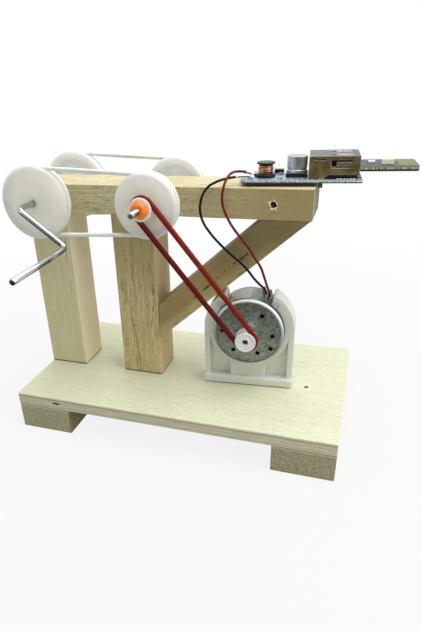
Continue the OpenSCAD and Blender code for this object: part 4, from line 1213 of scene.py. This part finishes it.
class BENCH_OT_wheels(bpy.types.Operator):
    """Turns the four grooved wheels"""

    bl_idname = "bench.wheels"
    bl_label = "Wheels"

    def execute(self, context):
        sizes = context.scene.bench_sizes
        nylon = nylon_finish("wheel_nylon", context.scene.bench_colours.nylon, 0.5, 4, 1)
        # The rear wheels get a whiter, bluer copy of the nylon as painted light, since they are lit from behind
        backlit_nylon = nylon_finish("rear_wheel_nylon", tone("f9fbff"), 0.5, 4, 1)
        for solid, joint in (("crank_wheel_front", "crank_spin"), ("crank_wheel_rear", "crank_spin"),
                             ("driven_wheel_front", "drive_spin"), ("driven_wheel_rear", "drive_spin")):
            low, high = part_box(solid)
            back = solid.endswith("rear")
            place = axle_place(joint, high.y if back else low.y, back)
            radius = (high.x - low.x) / 2
            mesh = turned(solid, self.profile(sizes, radius, high.y - low.y), place)
            show(solid + "_turned", mesh, (backlit_nylon if back else nylon,), solid)
        return {"FINISHED"}

    def profile(self, sizes, radius, depth):
        """A wheel's half section, from its domed outer face to the boss on its inner side."""
        bore = sizes.rod_radius
        width = sizes.wheel_width
        middle = width / 2
        floor = radius - sizes.groove_depth
        recess = width - sizes.recess_depth
        inner = radius - sizes.rim_width
        points = [
            (bore, 0), (0.62 * radius, 0.1 * sizes.wheel_dish), (radius - 0.9 * MM, sizes.wheel_dish),
            (radius, sizes.wheel_dish + 0.45 * MM), (radius, middle - 1.05 * MM),
            (floor, middle - 0.88 * MM), (floor, middle + 0.88 * MM), (radius, middle + 1.05 * MM),
            (radius, width), (inner, width),
            (inner - 0.4 * MM, recess), (sizes.hub_radius + 0.4 * MM, recess), (sizes.hub_radius, depth),
            (bore, depth)]
        radii = [0, 8 * MM, 1.2 * MM, 0.5 * MM, 0.2 * MM, 0.15 * MM, 0.15 * MM, 0.2 * MM, 0.7 * MM, 0.4 * MM,
                 0.4 * MM, 0.4 * MM, 0.3 * MM, 0]
        return softened(points, radii)


class BENCH_OT_rods(bpy.types.Operator):
    """Bends the crank rod and sets the two straight shafts"""

    bl_idname = "bench.rods"
    bl_label = "Rods"

    def execute(self, context):
        sizes = context.scene.bench_sizes
        steel = context.scene.bench_colours.steel
        bright = metal_finish("bright_rod", dimmed(steel, 0.85), steel, 0.4, (0.07, 0.14), 0.002)
        cut = metal_finish("cut_rod", tone("2c2c2e"), tone("5a5a5c"), 2.0, (0.4, 0.6), 0.02)
        sawn = metal_finish("sawn_axle", tone("6a6c66"), tone("94968e"), 2.0, (0.5, 0.65), 0.02)
        low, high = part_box("crank_rod")
        spot = JOINT["crank_spin"]["pos_m"]
        grip = MOUNT["crank_handle"]["pos_m"]
        arm_y = 2 * grip[1] - low.y + sizes.bend_radius
        back = Vector((spot[0], high.y, spot[2]))
        elbow = Vector((spot[0], arm_y, spot[2]))
        wrist = Vector((grip[0], arm_y, grip[2]))
        front = Vector((grip[0], low.y, grip[2]))
        path = [back] + arc(back, elbow, wrist, sizes.bend_radius) + arc(
            elbow, wrist, front, sizes.bend_radius) + [front]
        show("crank_bent", rod("crank_bent", path, sizes.rod_radius), (bright, cut), "crank_rod")
        low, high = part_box("drive_axle")
        spot = JOINT["drive_spin"]["pos_m"]
        path = [Vector((spot[0], y, spot[2])) for y in (low.y, 0.5 * (low.y + high.y), high.y)]
        show("drive_shaft", rod("drive_shaft", path, sizes.rod_radius), (bright, sawn), "drive_axle")
        paint("motor_shaft", bright)
        return {"FINISHED"}


def loop(start, end, first, second, across, steps=40):
    """Points of a belt's middle line round two wheels; across is the direction off the line of centres."""
    run = (end - start).normalized()
    lean = math.asin((first - second) / (end - start).length)
    points = []
    for centre, radius, low, high in ((start, first, math.pi / 2 - lean, 3 * math.pi / 2 + lean),
                                      (end, second, -math.pi / 2 + lean, math.pi / 2 - lean)):
        for k in range(steps + 1):
            angle = low + (high - low) * k / steps
            points.append(centre + radius * (run * math.cos(angle) + across * math.sin(angle)))
    return points


class BENCH_OT_belts(bpy.types.Operator):
    """Runs the two pale belts and the red one"""

    bl_idname = "bench.belts"
    bl_label = "Belts"

    def execute(self, context):
        sizes = context.scene.bench_sizes
        shades = context.scene.bench_colours
        tree = belt_tree()
        white = shades.white_band
        pale = finish("pale_rubber", dimmed(white, 0.9), white, 0.4, (0.5, 0.65))
        crank = Vector(JOINT["crank_spin"]["pos_m"])
        drive = Vector(JOINT["drive_spin"]["pos_m"])
        up = Vector((0, 0, 1))
        for solid in ("front_belt", "rear_belt"):
            low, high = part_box(solid)
            side = high.y - low.y
            start = Vector((crank.x, (low.y + high.y) / 2, crank.z))
            end = Vector((drive.x, start.y, drive.z))
            points = loop(start, end, start.x - low.x - side / 2, high.x - end.x - side / 2, up)
            self.run(tree, solid, points, (side, 0.4), Vector((0, 1, 0)), pale)
        start = Vector((drive.x, sum(corner.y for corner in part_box("drive_pulley")) / 2, drive.z))
        end = sum(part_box("motor_pulley"), Vector()) / 2
        run = end - start
        across = Vector((-run.z, 0, run.x)).normalized()
        points = loop(start, end, sizes.red_loop, sizes.red_loop, across)
        red = self.half_shaded_red_rubber(shades.red_band, start, across)
        self.run(tree, "drive_belt", points, (sizes.red_belt, 0.14), run.cross(across).normalized(), red)
        return {"FINISHED"}

    def half_shaded_red_rubber(self, shade, start, across):
        """Red rubber with painted shade: darker on the strand below the line of centres, which turns its shaded
        face to the front.
        """
        material, tree, shader = surface("half_shaded_red_rubber", {"Specular IOR Level": 0.15})
        off = node(tree, "ShaderNodeVectorMath", {0: millimetres(tree, centre=start), 1: across},
                   operation="DOT_PRODUCT").outputs["Value"]
        # The lower strand is darker: painted shade
        upper = ranged(tree, off, -1.2, 1.2)
        low = mixed(tree, upper, rgba(dimmed(shade, 0.4)), rgba(dimmed(shade, 0.62)))
        high = mixed(tree, upper, rgba(dimmed(shade, 0.58)), rgba(shade))
        look = patches(tree, low, high, 0.9)
        feed(tree, shader, {
            "Base Color": look["Color"], "Roughness": ranged(tree, look["Dust"], 0.25, 0.75, 0.5, 0.65),
            "Normal": bumped(tree, look["Dust"], 0.012 * MM)})
        return material

    def run(self, tree, solid, points, section, plane, material):
        """One belt along its line; its section is its side and the share of it that each corner rounds."""
        side, share = section
        line = bpy.data.meshes.new(solid + "_line")
        count = len(points)
        line.from_pydata([tuple(p) for p in points], [(i, (i + 1) % count) for i in range(count)], [])
        mesh = grown(solid, tree, {
            "Side": side, "Corner": share * side, "Plane": plane, "Material": material}, line)
        show(solid + "_band", mesh, (), solid)


# Steps round a small pulley or the collar
PULLEY_STEPS = 64


class BENCH_OT_pulleys(bpy.types.Operator):
    """Turns the two small pulleys and the orange collar"""

    bl_idname = "bench.pulleys"
    bl_label = "Pulleys"

    def execute(self, context):
        sizes = context.scene.bench_sizes
        orange = context.scene.bench_colours.orange
        white = nylon_finish("pulley_white", tone("f4f2ee"), 0.36)
        glossy = finish("collar_orange", tone("f56a0c"), orange, 0.8, (0.3, 0.42), 0.008,
                        {"Subsurface Weight": 0.15, "Subsurface Scale": 0.5 * MM})
        low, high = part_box("drive_pulley")
        profile = self.profile(sizes, (high.x - low.x) / 2, high.y - low.y)
        mesh = turned("drive_pulley", profile, axle_place("drive_spin", low.y), PULLEY_STEPS)
        show("drive_pulley_turned", mesh, (white,), "drive_pulley")
        low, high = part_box("stop_collar")
        radius = (high.x - low.x) / 2
        depth = high.y - low.y
        bead = softened([(sizes.rod_radius, 0), (0.66 * radius, 0), (0.94 * radius, 0.55 * depth),
                         (0.94 * radius, depth), (sizes.rod_radius, depth)],
                        [0, 1.2 * MM, 1.4 * MM, 0.2 * MM, 0], 6)
        mesh = turned("stop_collar", bead, axle_place("drive_spin", low.y), PULLEY_STEPS)
        show("collar_turned", mesh, (glossy,), "stop_collar")
        low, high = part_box("motor_pulley")
        near, far = reach("motor_pulley", MOTOR_AXIS)
        width = far - near
        turn = MOTOR.to_quaternion().to_matrix().to_4x4()
        place = Matrix.Translation((low + high) / 2) @ turn @ Matrix.Translation((0, -width / 2, 0))
        mesh = turned("motor_pulley", self.ringed(sizes, (high.z - low.z) / 2, width), place, PULLEY_STEPS)
        show("motor_pulley_turned", mesh, (white,), "motor_pulley")
        return {"FINISHED"}

    def profile(self, sizes, radius, width):
        """A small pulley's half section: a ring on its face, two flanges and a groove."""
        bore = sizes.rod_radius
        flange = sizes.flange
        points = [
            (bore, 0.25 * MM), (0.5 * radius, 0.25 * MM), (0.55 * radius, 0), (radius, 0), (radius, flange),
            (sizes.groove_radius, flange + 0.15 * MM), (sizes.groove_radius, width - flange - 0.15 * MM),
            (radius, width - flange), (radius, width), (bore, width)]
        return softened(points, [0] + [0.14 * MM] * (len(points) - 2) + [0])

    def ringed(self, sizes, radius, width):
        """The motor pulley's half section: rings on its face and a smaller front flange."""
        bore = sizes.rod_radius
        flange = sizes.flange
        front = 0.92 * radius
        points = [
            (bore, 0.1 * MM), (0.4 * radius, 0.1 * MM), (0.44 * radius, 0.32 * MM),
            (0.54 * radius, 0.32 * MM), (0.58 * radius, 0.16 * MM), (0.68 * radius, 0.16 * MM),
            (0.71 * radius, 0.3 * MM), (0.77 * radius, 0.3 * MM), (0.8 * radius, 0), (front, 0),
            (front, flange),
            (sizes.groove_radius, flange + 0.15 * MM), (sizes.groove_radius, width - flange - 0.15 * MM),
            (radius, width - flange), (radius, width), (bore, width)]
        return softened(points, [0] + [0.1 * MM] * (len(points) - 2) + [0])


# Motor


# Half sections of the sunk ring in the can's face and of a pin mark, as radius and depth in millimetres
CAN_RECESS = ((3.5, -0.5), (10.9, -0.5), (10.9, 0.3), (3.5, 0.3))
PIN_RING = ((0.7, 0.1), (0.7, -0.13), (1.12, -0.13), (1.12, 0.1))
PIN_SOFT = 0.06
# The pin marks on the bracket's horns from the motor's axis, and how far out its lip stands, in millimetres
PIN_MARKS = ((8.95, 9.5), (-10.2, 9.1))
LIP_OUT = 1.2
# Depth of the can's rolled rim in millimetres
RIM_DEPTH = 1
# Angles of the rotor's poles in degrees
POLE_ANGLES = (90, 210, 330)


def spangled(name, low, high):
    """Zinc that has set in faint crystals, with a speckle and fine drawn streaks."""
    material, tree, shader = surface(name, {"Metallic": 1.0})
    spot = millimetres(tree)
    crystal = node(tree, "ShaderNodeTexVoronoi", {"Vector": spot, "Scale": 0.9}).outputs["Color"]
    value = node(tree, "ShaderNodeSeparateColor", {0: crystal})
    speckle = noise(tree, spot, (2.2, 2.2, 2.2), 4, 0.7, 0.6)
    streaks = noise(tree, spot, (0.4, 0.4, 2.6), 4, 0.7, 1.2)
    scuffs = scratches(tree)
    grain = sums(tree, "ADD", product(tree, speckle, 0.55), product(tree, streaks, 0.35))
    shade = sums(tree, "ADD", grain, product(tree, value.outputs[0], 0.1))
    dull = sums(tree, "ADD", ranged(tree, value.outputs[1], 0, 1, 0.42, 0.5), product(tree, scuffs, 0.1))
    feed(tree, shader, {
        "Base Color": mixed(tree, ranged(tree, shade, 0.32, 0.68), rgba(low), rgba(high)),
        "Roughness": dull, "Normal": bumped(tree, sums(tree, "SUBTRACT", grain, scuffs), 0.02 * MM)})
    return material


class BENCH_OT_motor(bpy.types.Operator):
    """Dresses the motor, its bracket and what is inside it"""

    bl_idname = "bench.motor"
    bl_label = "Motor"

    def execute(self, context):
        sizes = context.scene.bench_sizes
        white = nylon_finish("bracket_white", tone("dbdcd2"), 0.38)
        show("bracket_moulded", dressed("motor_bracket", sizes.nylon_edge), (white,), "motor_bracket")
        self.mark_bracket()
        self.draw_can(context.scene.bench_colours.zinc)
        paint("motor_label", finish("blank_film", tone("a9a698"), tone("bdb9aa"), 0.5, (0.3, 0.45)))
        paint("bracket_tape", finish("tape_paper", tone("c9b98a"), tone("ddd0a6"), 0.7, (0.6, 0.8)))
        bronze = metal_finish("bush_bronze", tone("8a6a3c"), tone("a98550"))
        paint("motor_front_bush", bronze)
        paint("motor_rear_bush", bronze)
        paint("motor_magnet", finish("magnet_ferrite", tone("232325"), tone("343436"), 1.0, (0.6, 0.8)))
        paint("motor_end_cap", finish("cap_plastic", tone("1b1b1c"), tone("28282a"), 0.8))
        paint("motor_terminals", metal_finish("lug_tin", tone("a8aaac"), tone("c8cacc")))
        copper = metal_finish("brush_copper", tone("a8663a"), tone("c98650"))
        paint("motor_brushes", copper)
        paint("commutator", copper)
        paint("rotor_core", metal_finish("core_steel", tone("5e6062"), tone("7a7c7e"), 1.0, (0.4, 0.55)))
        self.wind_rotor(sizes.rotor_wire)
        return {"FINISHED"}

    def draw_can(self, zinc):
        """The zinc can: dull round its side, a sunk speckled face and a rim with painted highlight above and
        painted shade below.
        """
        side = spangled("zinc_side", dimmed(zinc, 0.4), dimmed(zinc, 0.72))
        face = spangled("zinc_face", tone("717b77"), tone("cfd8d0"))
        recess = turned("recess", [(radius * MM, along * MM) for radius, along in CAN_RECESS], MOTOR)
        mesh = eased("motor_can", (recess,))
        inverse = MOTOR.inverted()
        for part in mesh.polygons:
            spot = inverse @ part.center
            if spot.y < RIM_DEPTH * MM:
                part.material_index = 1 if math.hypot(spot.x, spot.z) < CAN_RECESS[1][0] * MM else 2
        show("can_drawn", mesh, (side, face, self.rolled_rim()), "motor_can")

    def rolled_rim(self):
        """The can's rolled rim, painted bright above as painted highlight and dark below as painted shade."""
        material, tree, shader = surface("zinc_rim", {"Metallic": 1.0, "Roughness": 0.6})
        # Bright above, dark below: painted highlight and painted shade
        height = ranged(tree, level(tree, MOTOR.translation.z), -9, 7)
        feed(tree, shader, {
            "Base Color": mixed(tree, height, rgba(tone("76807a")), rgba(tone("dfe6e3"))),
            "Normal": bumped(tree, scratches(tree), 0.01 * MM)})
        return material

    def mark_bracket(self):
        """The round marks that the mould's pins left on the bracket's front."""
        front = reach("motor_bracket", -MOTOR_AXIS)[0] - MOTOR.translation.dot(-MOTOR_AXIS) + LIP_OUT * MM
        profile = softened([(radius * MM, along * MM) for radius, along in PIN_RING], PIN_SOFT * MM)
        rings = []
        for x, z in PIN_MARKS:
            place = MOTOR @ Matrix.Translation((x * MM, front, z * MM))
            ring = bmesh.new()
            ring.from_mesh(turned("pin_mark", profile, place, 40))
            rings.append(ring)
        grey = nylon_finish("mark_nylon", tone("bcbeb5"), 0.38)
        show("bracket_marks", joined(rings, "bracket_marks"), (grey,), "motor_bracket", instead=False)

    def wind_rotor(self, wire):
        """The enamelled coils, wound in two layers round the rotor's poles."""
        enamel = metal_finish("rotor_copper", tone("8e4f28"), tone("b8703c"), 2.0, (0.25, 0.4))
        points, edges = [], []
        for angle in POLE_ANGLES:
            pole = MOTOR @ Matrix.Rotation(-math.radians(angle), 4, "Y")
            inverse = pole.inverted()
            spots = [inverse @ vertex.co for vertex in frame["nodes"]["rotor_windings"].data.vertices]
            spots = [spot for spot in spots if spot.x > abs(spot.z)]
            low = Vector([min(spot[k] for spot in spots) for k in range(3)])
            high = Vector([max(spot[k] for spot in spots) for k in range(3)])
            line = [pole @ point for point in self.turns(low, high, wire)]
            first = len(points)
            points += [tuple(point) for point in line]
            edges += [(first + k, first + k + 1) for k in range(len(line) - 1)]
        base = bpy.data.meshes.new("coil_lines")
        base.from_pydata(points, edges, [])
        mesh = grown("rotor_coils", wire_tree(), {"Wire": wire, "Material": enamel}, base)
        show("rotor_coils", mesh, (), "rotor_windings")

    def turns(self, low, high, wire):
        """The middle line of a coil in a box: out in the inner layer and back in the outer one."""
        count = int((high.x - low.x) / wire) - 1
        line = []
        for layer, order in ((1.5, range(count)), (0.5, reversed(range(count)))):
            inset = layer * wire
            corners = [(low.y + inset, low.z + inset), (high.y - inset, low.z + inset),
                       (high.y - inset, high.z - inset), (low.y + inset, high.z - inset)]
            lap = softened([(0, y, z) for y, z in corners], (2.2 - layer) * wire, 3)
            for k in order:
                for i, spot in enumerate(lap):
                    step = i / len(lap) if layer > 1 else 1 - i / len(lap)
                    line.append(Vector((low.x + (k + step + 0.5) * wire, spot.y, spot.z)))
        return line


# Circuit board


# Bare pads on the board's top, in millimetres from its middle, and the radius and height of one
PADS = (
    (-15.6, 3.2), (-13.4, 6.4), (-9.6, 6.5), (-5.0, 6.6), (-1.5, 6.9), (0.4, 4.6), (-6.2, -6.2), (-4.9, 3.6),
    (-8.3, -6.6), (0.6, -5.6), (-13.6, -6.6), (3.4, -7.2), (-16.4, -6.4), (-11.2, -7.1), (-2.6, -7.0),
    (-0.9, -7.3), (5.4, -7.3), (-16.9, 0.4), (-15.4, -3.6))
PAD_RADIUS = 0.5
PAD_HEIGHT = 0.12
# How much the inductor's winding draws in at its ends
COIL_PINCH = 0.7
# Joints before the dark block under the socket's front, as shares of its length, and the radius and height of one
# in millimetres
SILL_JOINTS = (0.34, 0.45, 0.56, 0.67, 0.78, 0.89)
JOINT_RADIUS = 0.56
JOINT_HEIGHT = 0.24
# Sockets of surfaces that shine little
DULL = {"Specular IOR Level": 0.3}
DULLER = {"Specular IOR Level": 0.25}


class BENCH_OT_board(bpy.types.Operator):
    """Dresses the circuit board and the parts on it"""

    bl_idname = "bench.board"
    bl_label = "Circuit board"

    def execute(self, context):
        blue = context.scene.bench_colours.laminate
        top = finish("board_laminate", dimmed(blue, 0.7), blue, 0.5, (0.28, 0.4), 0.02)
        edge = cut_edge("board_edge", "circuit_board", tone("b4c0c2"), tone("3f4742"), tone("f2f8fa"))
        mesh = eased("circuit_board")
        by_edge(mesh)
        show("board_cut", mesh, (top, edge), "circuit_board")
        paint("board_tape", finish("tape_foam", tone("2a2824"), tone("3a372f"), 1.2, (0.7, 0.9), 0.05))
        solder = metal_finish("solder", tone("9a9ea2"), tone("c6cacd"), 0.8)
        paint("solder_joints", solder)
        self.plant_pads(solder)
        ferrite = finish("ferrite", tone("121214"), tone("232327"), 1.0, (0.4, 0.5), 0.02, DULL)
        show("core_pressed", eased("inductor_core"), (ferrite,), "inductor_core")
        self.wind_coil(context.scene.bench_sizes, context.scene.bench_colours.copper)
        alu = metal_finish("capacitor_alu", tone("c4cdd0"), tone("dce5e8"), 0.5, (0.36, 0.46))
        # The lid is a darker copy of the can's aluminium, as painted shade, so that it does not shine white
        shaded_lid = metal_finish("capacitor_lid_shaded", tone("8b9294"), tone("9fa6a8"), 0.8, (0.5, 0.6))
        mesh = eased("capacitor_can")
        by_direction(mesh, Vector((0, 0, 1)), 0.8)
        show("capacitor_drawn", mesh, (alu, shaded_lid), "capacitor_can")
        black = finish("black_plastic", tone("131316"), tone("202024"), 1.0, (0.36, 0.5), 0.015)
        for solid in ("capacitor_base", "boost_chip", "diode"):
            show(solid + "_moulded", eased(solid), (black,), solid)
        clay = finish("chip_ceramic", tone("6f7680"), tone("a8b0b8"), 1.5)
        show("chips_fired", eased("chip_parts"), (clay,), "chip_parts")
        return {"FINISHED"}

    def plant_pads(self, solder):
        """Bare solder pads on the board's top."""
        spots = dots([BOARD @ Vector((x * MM, y * MM, 0.02 * MM)) for x, y in PADS])
        pads = grown("pads", bead_tree(), {
            "Radius": PAD_RADIUS * MM, "Height": PAD_HEIGHT * MM, "Material": solder}, spots)
        show("board_pads", pads, (), "solder_joints", instead=False)

    def wind_coil(self, sizes, shade):
        """The inductor's close copper winding between its flanges."""
        copper = metal_finish("coil_copper", dimmed(shade, 0.6), shade, 1.5, (0.16, 0.28))
        low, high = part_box("inductor_winding")
        core_low, core_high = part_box("inductor_core")
        radius = (high.x - low.x) / 2 - sizes.coil_wire / 2
        mesh = grown("coil", winding_tree(), {
            "Turns": float(sizes.coil_turns), "Radius": radius, "Height": high.z - low.z - sizes.coil_wire,
            "Wire": sizes.coil_wire, "Pinch": COIL_PINCH, "Material": copper})
        mesh.transform(Matrix.Translation((
            (core_low.x + core_high.x) / 2, (core_low.y + core_high.y) / 2, low.z + sizes.coil_wire / 2)))
        show("coil_wound", mesh, (), "inductor_winding")


class BENCH_OT_socket(bpy.types.Operator):
    """Dresses the socket and its contacts"""

    bl_idname = "bench.socket"
    bl_label = "Socket"

    def execute(self, context):
        side = metal_finish("socket_side", tone("b39c68"), tone("cbb384"), 0.4, (0.36, 0.46))
        # The top is darkened as painted shade on the shell's metal, so that it does not shine white
        top = metal_finish("socket_top_shaded", tone("4c5052"), tone("5e6264"), 0.4, (0.42, 0.52))
        # The bent edges are a bright copy of the metal: a painted highlight where they catch the light
        edge_highlight = metal_finish("socket_edge_highlight", tone("d2d4ce"), tone("eceee8"), 0.8, (0.3, 0.4))
        mesh = eased("usb_shell")
        by_direction(mesh, Vector((0, 0, 1)), 0.5)
        turn = BOARD.to_3x3().inverted()
        for part in mesh.polygons:
            if max(abs(share) for share in turn @ part.normal) < 0.97:
                part.material_index = 2
        show("socket_folded", mesh, (side, top, edge_highlight), "usb_shell")
        self.set_sill()
        paint("usb_tongue", finish("tongue_black", tone("121214"), tone("1c1c1f"), 1.0))
        gold = metal_finish("gold_plate", tone("b8923c"), tone("d8b45a"))
        paint("usb_contacts", gold)
        paint("stick_contacts", gold)
        return {"FINISHED"}

    def set_sill(self):
        """A black block below the front of the shell, as painted shade in the gap there, and a row of joints
        before it.
        """
        inverse = BOARD.inverted()
        spots = [inverse @ vertex.co for vertex in frame["nodes"]["usb_shell"].data.vertices]
        left, right = min(spot.x for spot in spots), max(spot.x for spot in spots)
        front = min(spot.y for spot in spots)
        low = (left + 0.38 * (right - left), front - 0.06 * MM, 0)
        high = (right - 0.5 * MM, front + 0.5 * MM, 1.15 * MM)
        # The black block stands for the shade in the gap under the shell: painted shade
        black = finish("gap_shade_black", tone("0e0e10"), tone("19191c"), 1.0, values=DULL)
        gap_shade = joined([block(low, high, BOARD, 0.08 * MM)], "socket_gap_shade")
        show("socket_gap_shade", gap_shade, (black,), "usb_shell", instead=False)
        # The joints are real, but their blue tint is a painted reflection of a bluish glint
        glinting_tin = metal_finish("joint_tin", tone("8496a4"), tone("bccbd6"), 0.8, (0.3, 0.45))
        row = dots([BOARD @ Vector((low[0] + share * (high[0] - low[0]), front - 0.3 * MM, 0.05 * MM))
                    for share in SILL_JOINTS])
        joints = grown("row", bead_tree(), {
            "Radius": JOINT_RADIUS * MM, "Height": JOINT_HEIGHT * MM, "Material": glinting_tin}, row)
        show("socket_joints", joints, (), "usb_shell", instead=False)


class BENCH_OT_stick(bpy.types.Operator):
    """Dresses the plug-in lamp stick"""

    bl_idname = "bench.stick"
    bl_label = "Lamp stick"

    def execute(self, context):
        top = finish("stick_laminate", tone("2d3943"), tone("3f4d58"), 0.6, (0.42, 0.55), 0.02, DULLER)
        edge = cut_edge("stick_edge", "stick_board", tone("83886c"), tone("2f3226"), tone("c4c9b4"))
        mesh = eased("stick_board")
        by_edge(mesh)
        show("stick_cut", mesh, (top, edge), "stick_board")
        show("led_moulded", eased("stick_led"), (self.lamp_glaze(),), "stick_led")
        pad = finish("bare_pad", tone("656244"), tone("7d7a58"), 0.8, (0.45, 0.6), values=DULLER)
        chalk = finish("white_chip", tone("e6e9ea"), tone("f4f6f7"), 1.2)
        mesh = eased("stick_parts")
        middle = sum(reach("stick_parts", SLIDE)) / 2
        for part in mesh.polygons:
            part.material_index = 1 if part.center.dot(SLIDE) < middle else 0
        show("stick_parts_set", mesh, (pad, chalk), "stick_parts")
        return {"FINISHED"}

    def lamp_glaze(self):
        """The lamp chip: a white case below and yellow phosphor above."""
        low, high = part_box("stick_led")
        material, tree, shader = surface("lamp_glaze", {"Roughness": 0.45})
        spot = millimetres(tree, centre=low)
        middle = 0.45 * (high.z - low.z) / MM
        cloud = product(tree, noise(tree, spot, (1.5, 1.5, 1.5), 2), 0.3)
        upper = ranged(tree, sums(tree, "ADD", axes(tree, spot)[2], cloud), middle, middle + 0.3)
        feed(tree, shader, {"Base Color": mixed(tree, upper, rgba(tone("fffffa")), rgba(tone("fffab8")))})
        return material


class BENCH_PT_pieces(bpy.types.Panel):
    """Lists the pieces of the generator and their sizes"""

    bl_idname = "BENCH_PT_pieces"
    bl_label = "Hand crank generator"
    bl_space_type = "VIEW_3D"
    bl_region_type = "UI"
    bl_category = "Generator"

    def draw(self, context):
        for maker in MAKERS:
            self.layout.operator(maker.bl_idname)
        for group in (context.scene.bench_sizes, context.scene.bench_colours, context.scene.bench_stage):
            for key in group.__annotations__:
                self.layout.prop(group, key)


MAKERS = (BENCH_OT_stage, BENCH_OT_wires, BENCH_OT_wood, BENCH_OT_wheels, BENCH_OT_rods, BENCH_OT_belts,
          BENCH_OT_pulleys, BENCH_OT_motor, BENCH_OT_board, BENCH_OT_socket, BENCH_OT_stick)
GROUPS = (BenchSizes, BenchColours, BenchStage)


def register():
    """Registers the sizes, the operators and the panel."""
    for kind in GROUPS + MAKERS + (BENCH_PT_pieces,):
        bpy.utils.register_class(kind)
    bpy.types.Scene.bench_sizes = PointerProperty(type=BenchSizes)
    bpy.types.Scene.bench_colours = PointerProperty(type=BenchColours)
    bpy.types.Scene.bench_stage = PointerProperty(type=BenchStage)


def unregister():
    """Takes them out again."""
    del bpy.types.Scene.bench_sizes
    del bpy.types.Scene.bench_colours
    del bpy.types.Scene.bench_stage
    for kind in reversed(GROUPS + MAKERS + (BENCH_PT_pieces,)):
        bpy.utils.unregister_class(kind)


def main():
    """Makes every piece in order."""
    register()
    bpy.ops.bench.stage()
    bpy.ops.bench.wires()
    bpy.ops.bench.wood()
    bpy.ops.bench.wheels()
    bpy.ops.bench.rods()
    bpy.ops.bench.belts()
    bpy.ops.bench.pulleys()
    bpy.ops.bench.motor()
    bpy.ops.bench.board()
    bpy.ops.bench.socket()
    bpy.ops.bench.stick()
    bpy.context.view_layer.update()


if __name__ == "__main__":
    main()
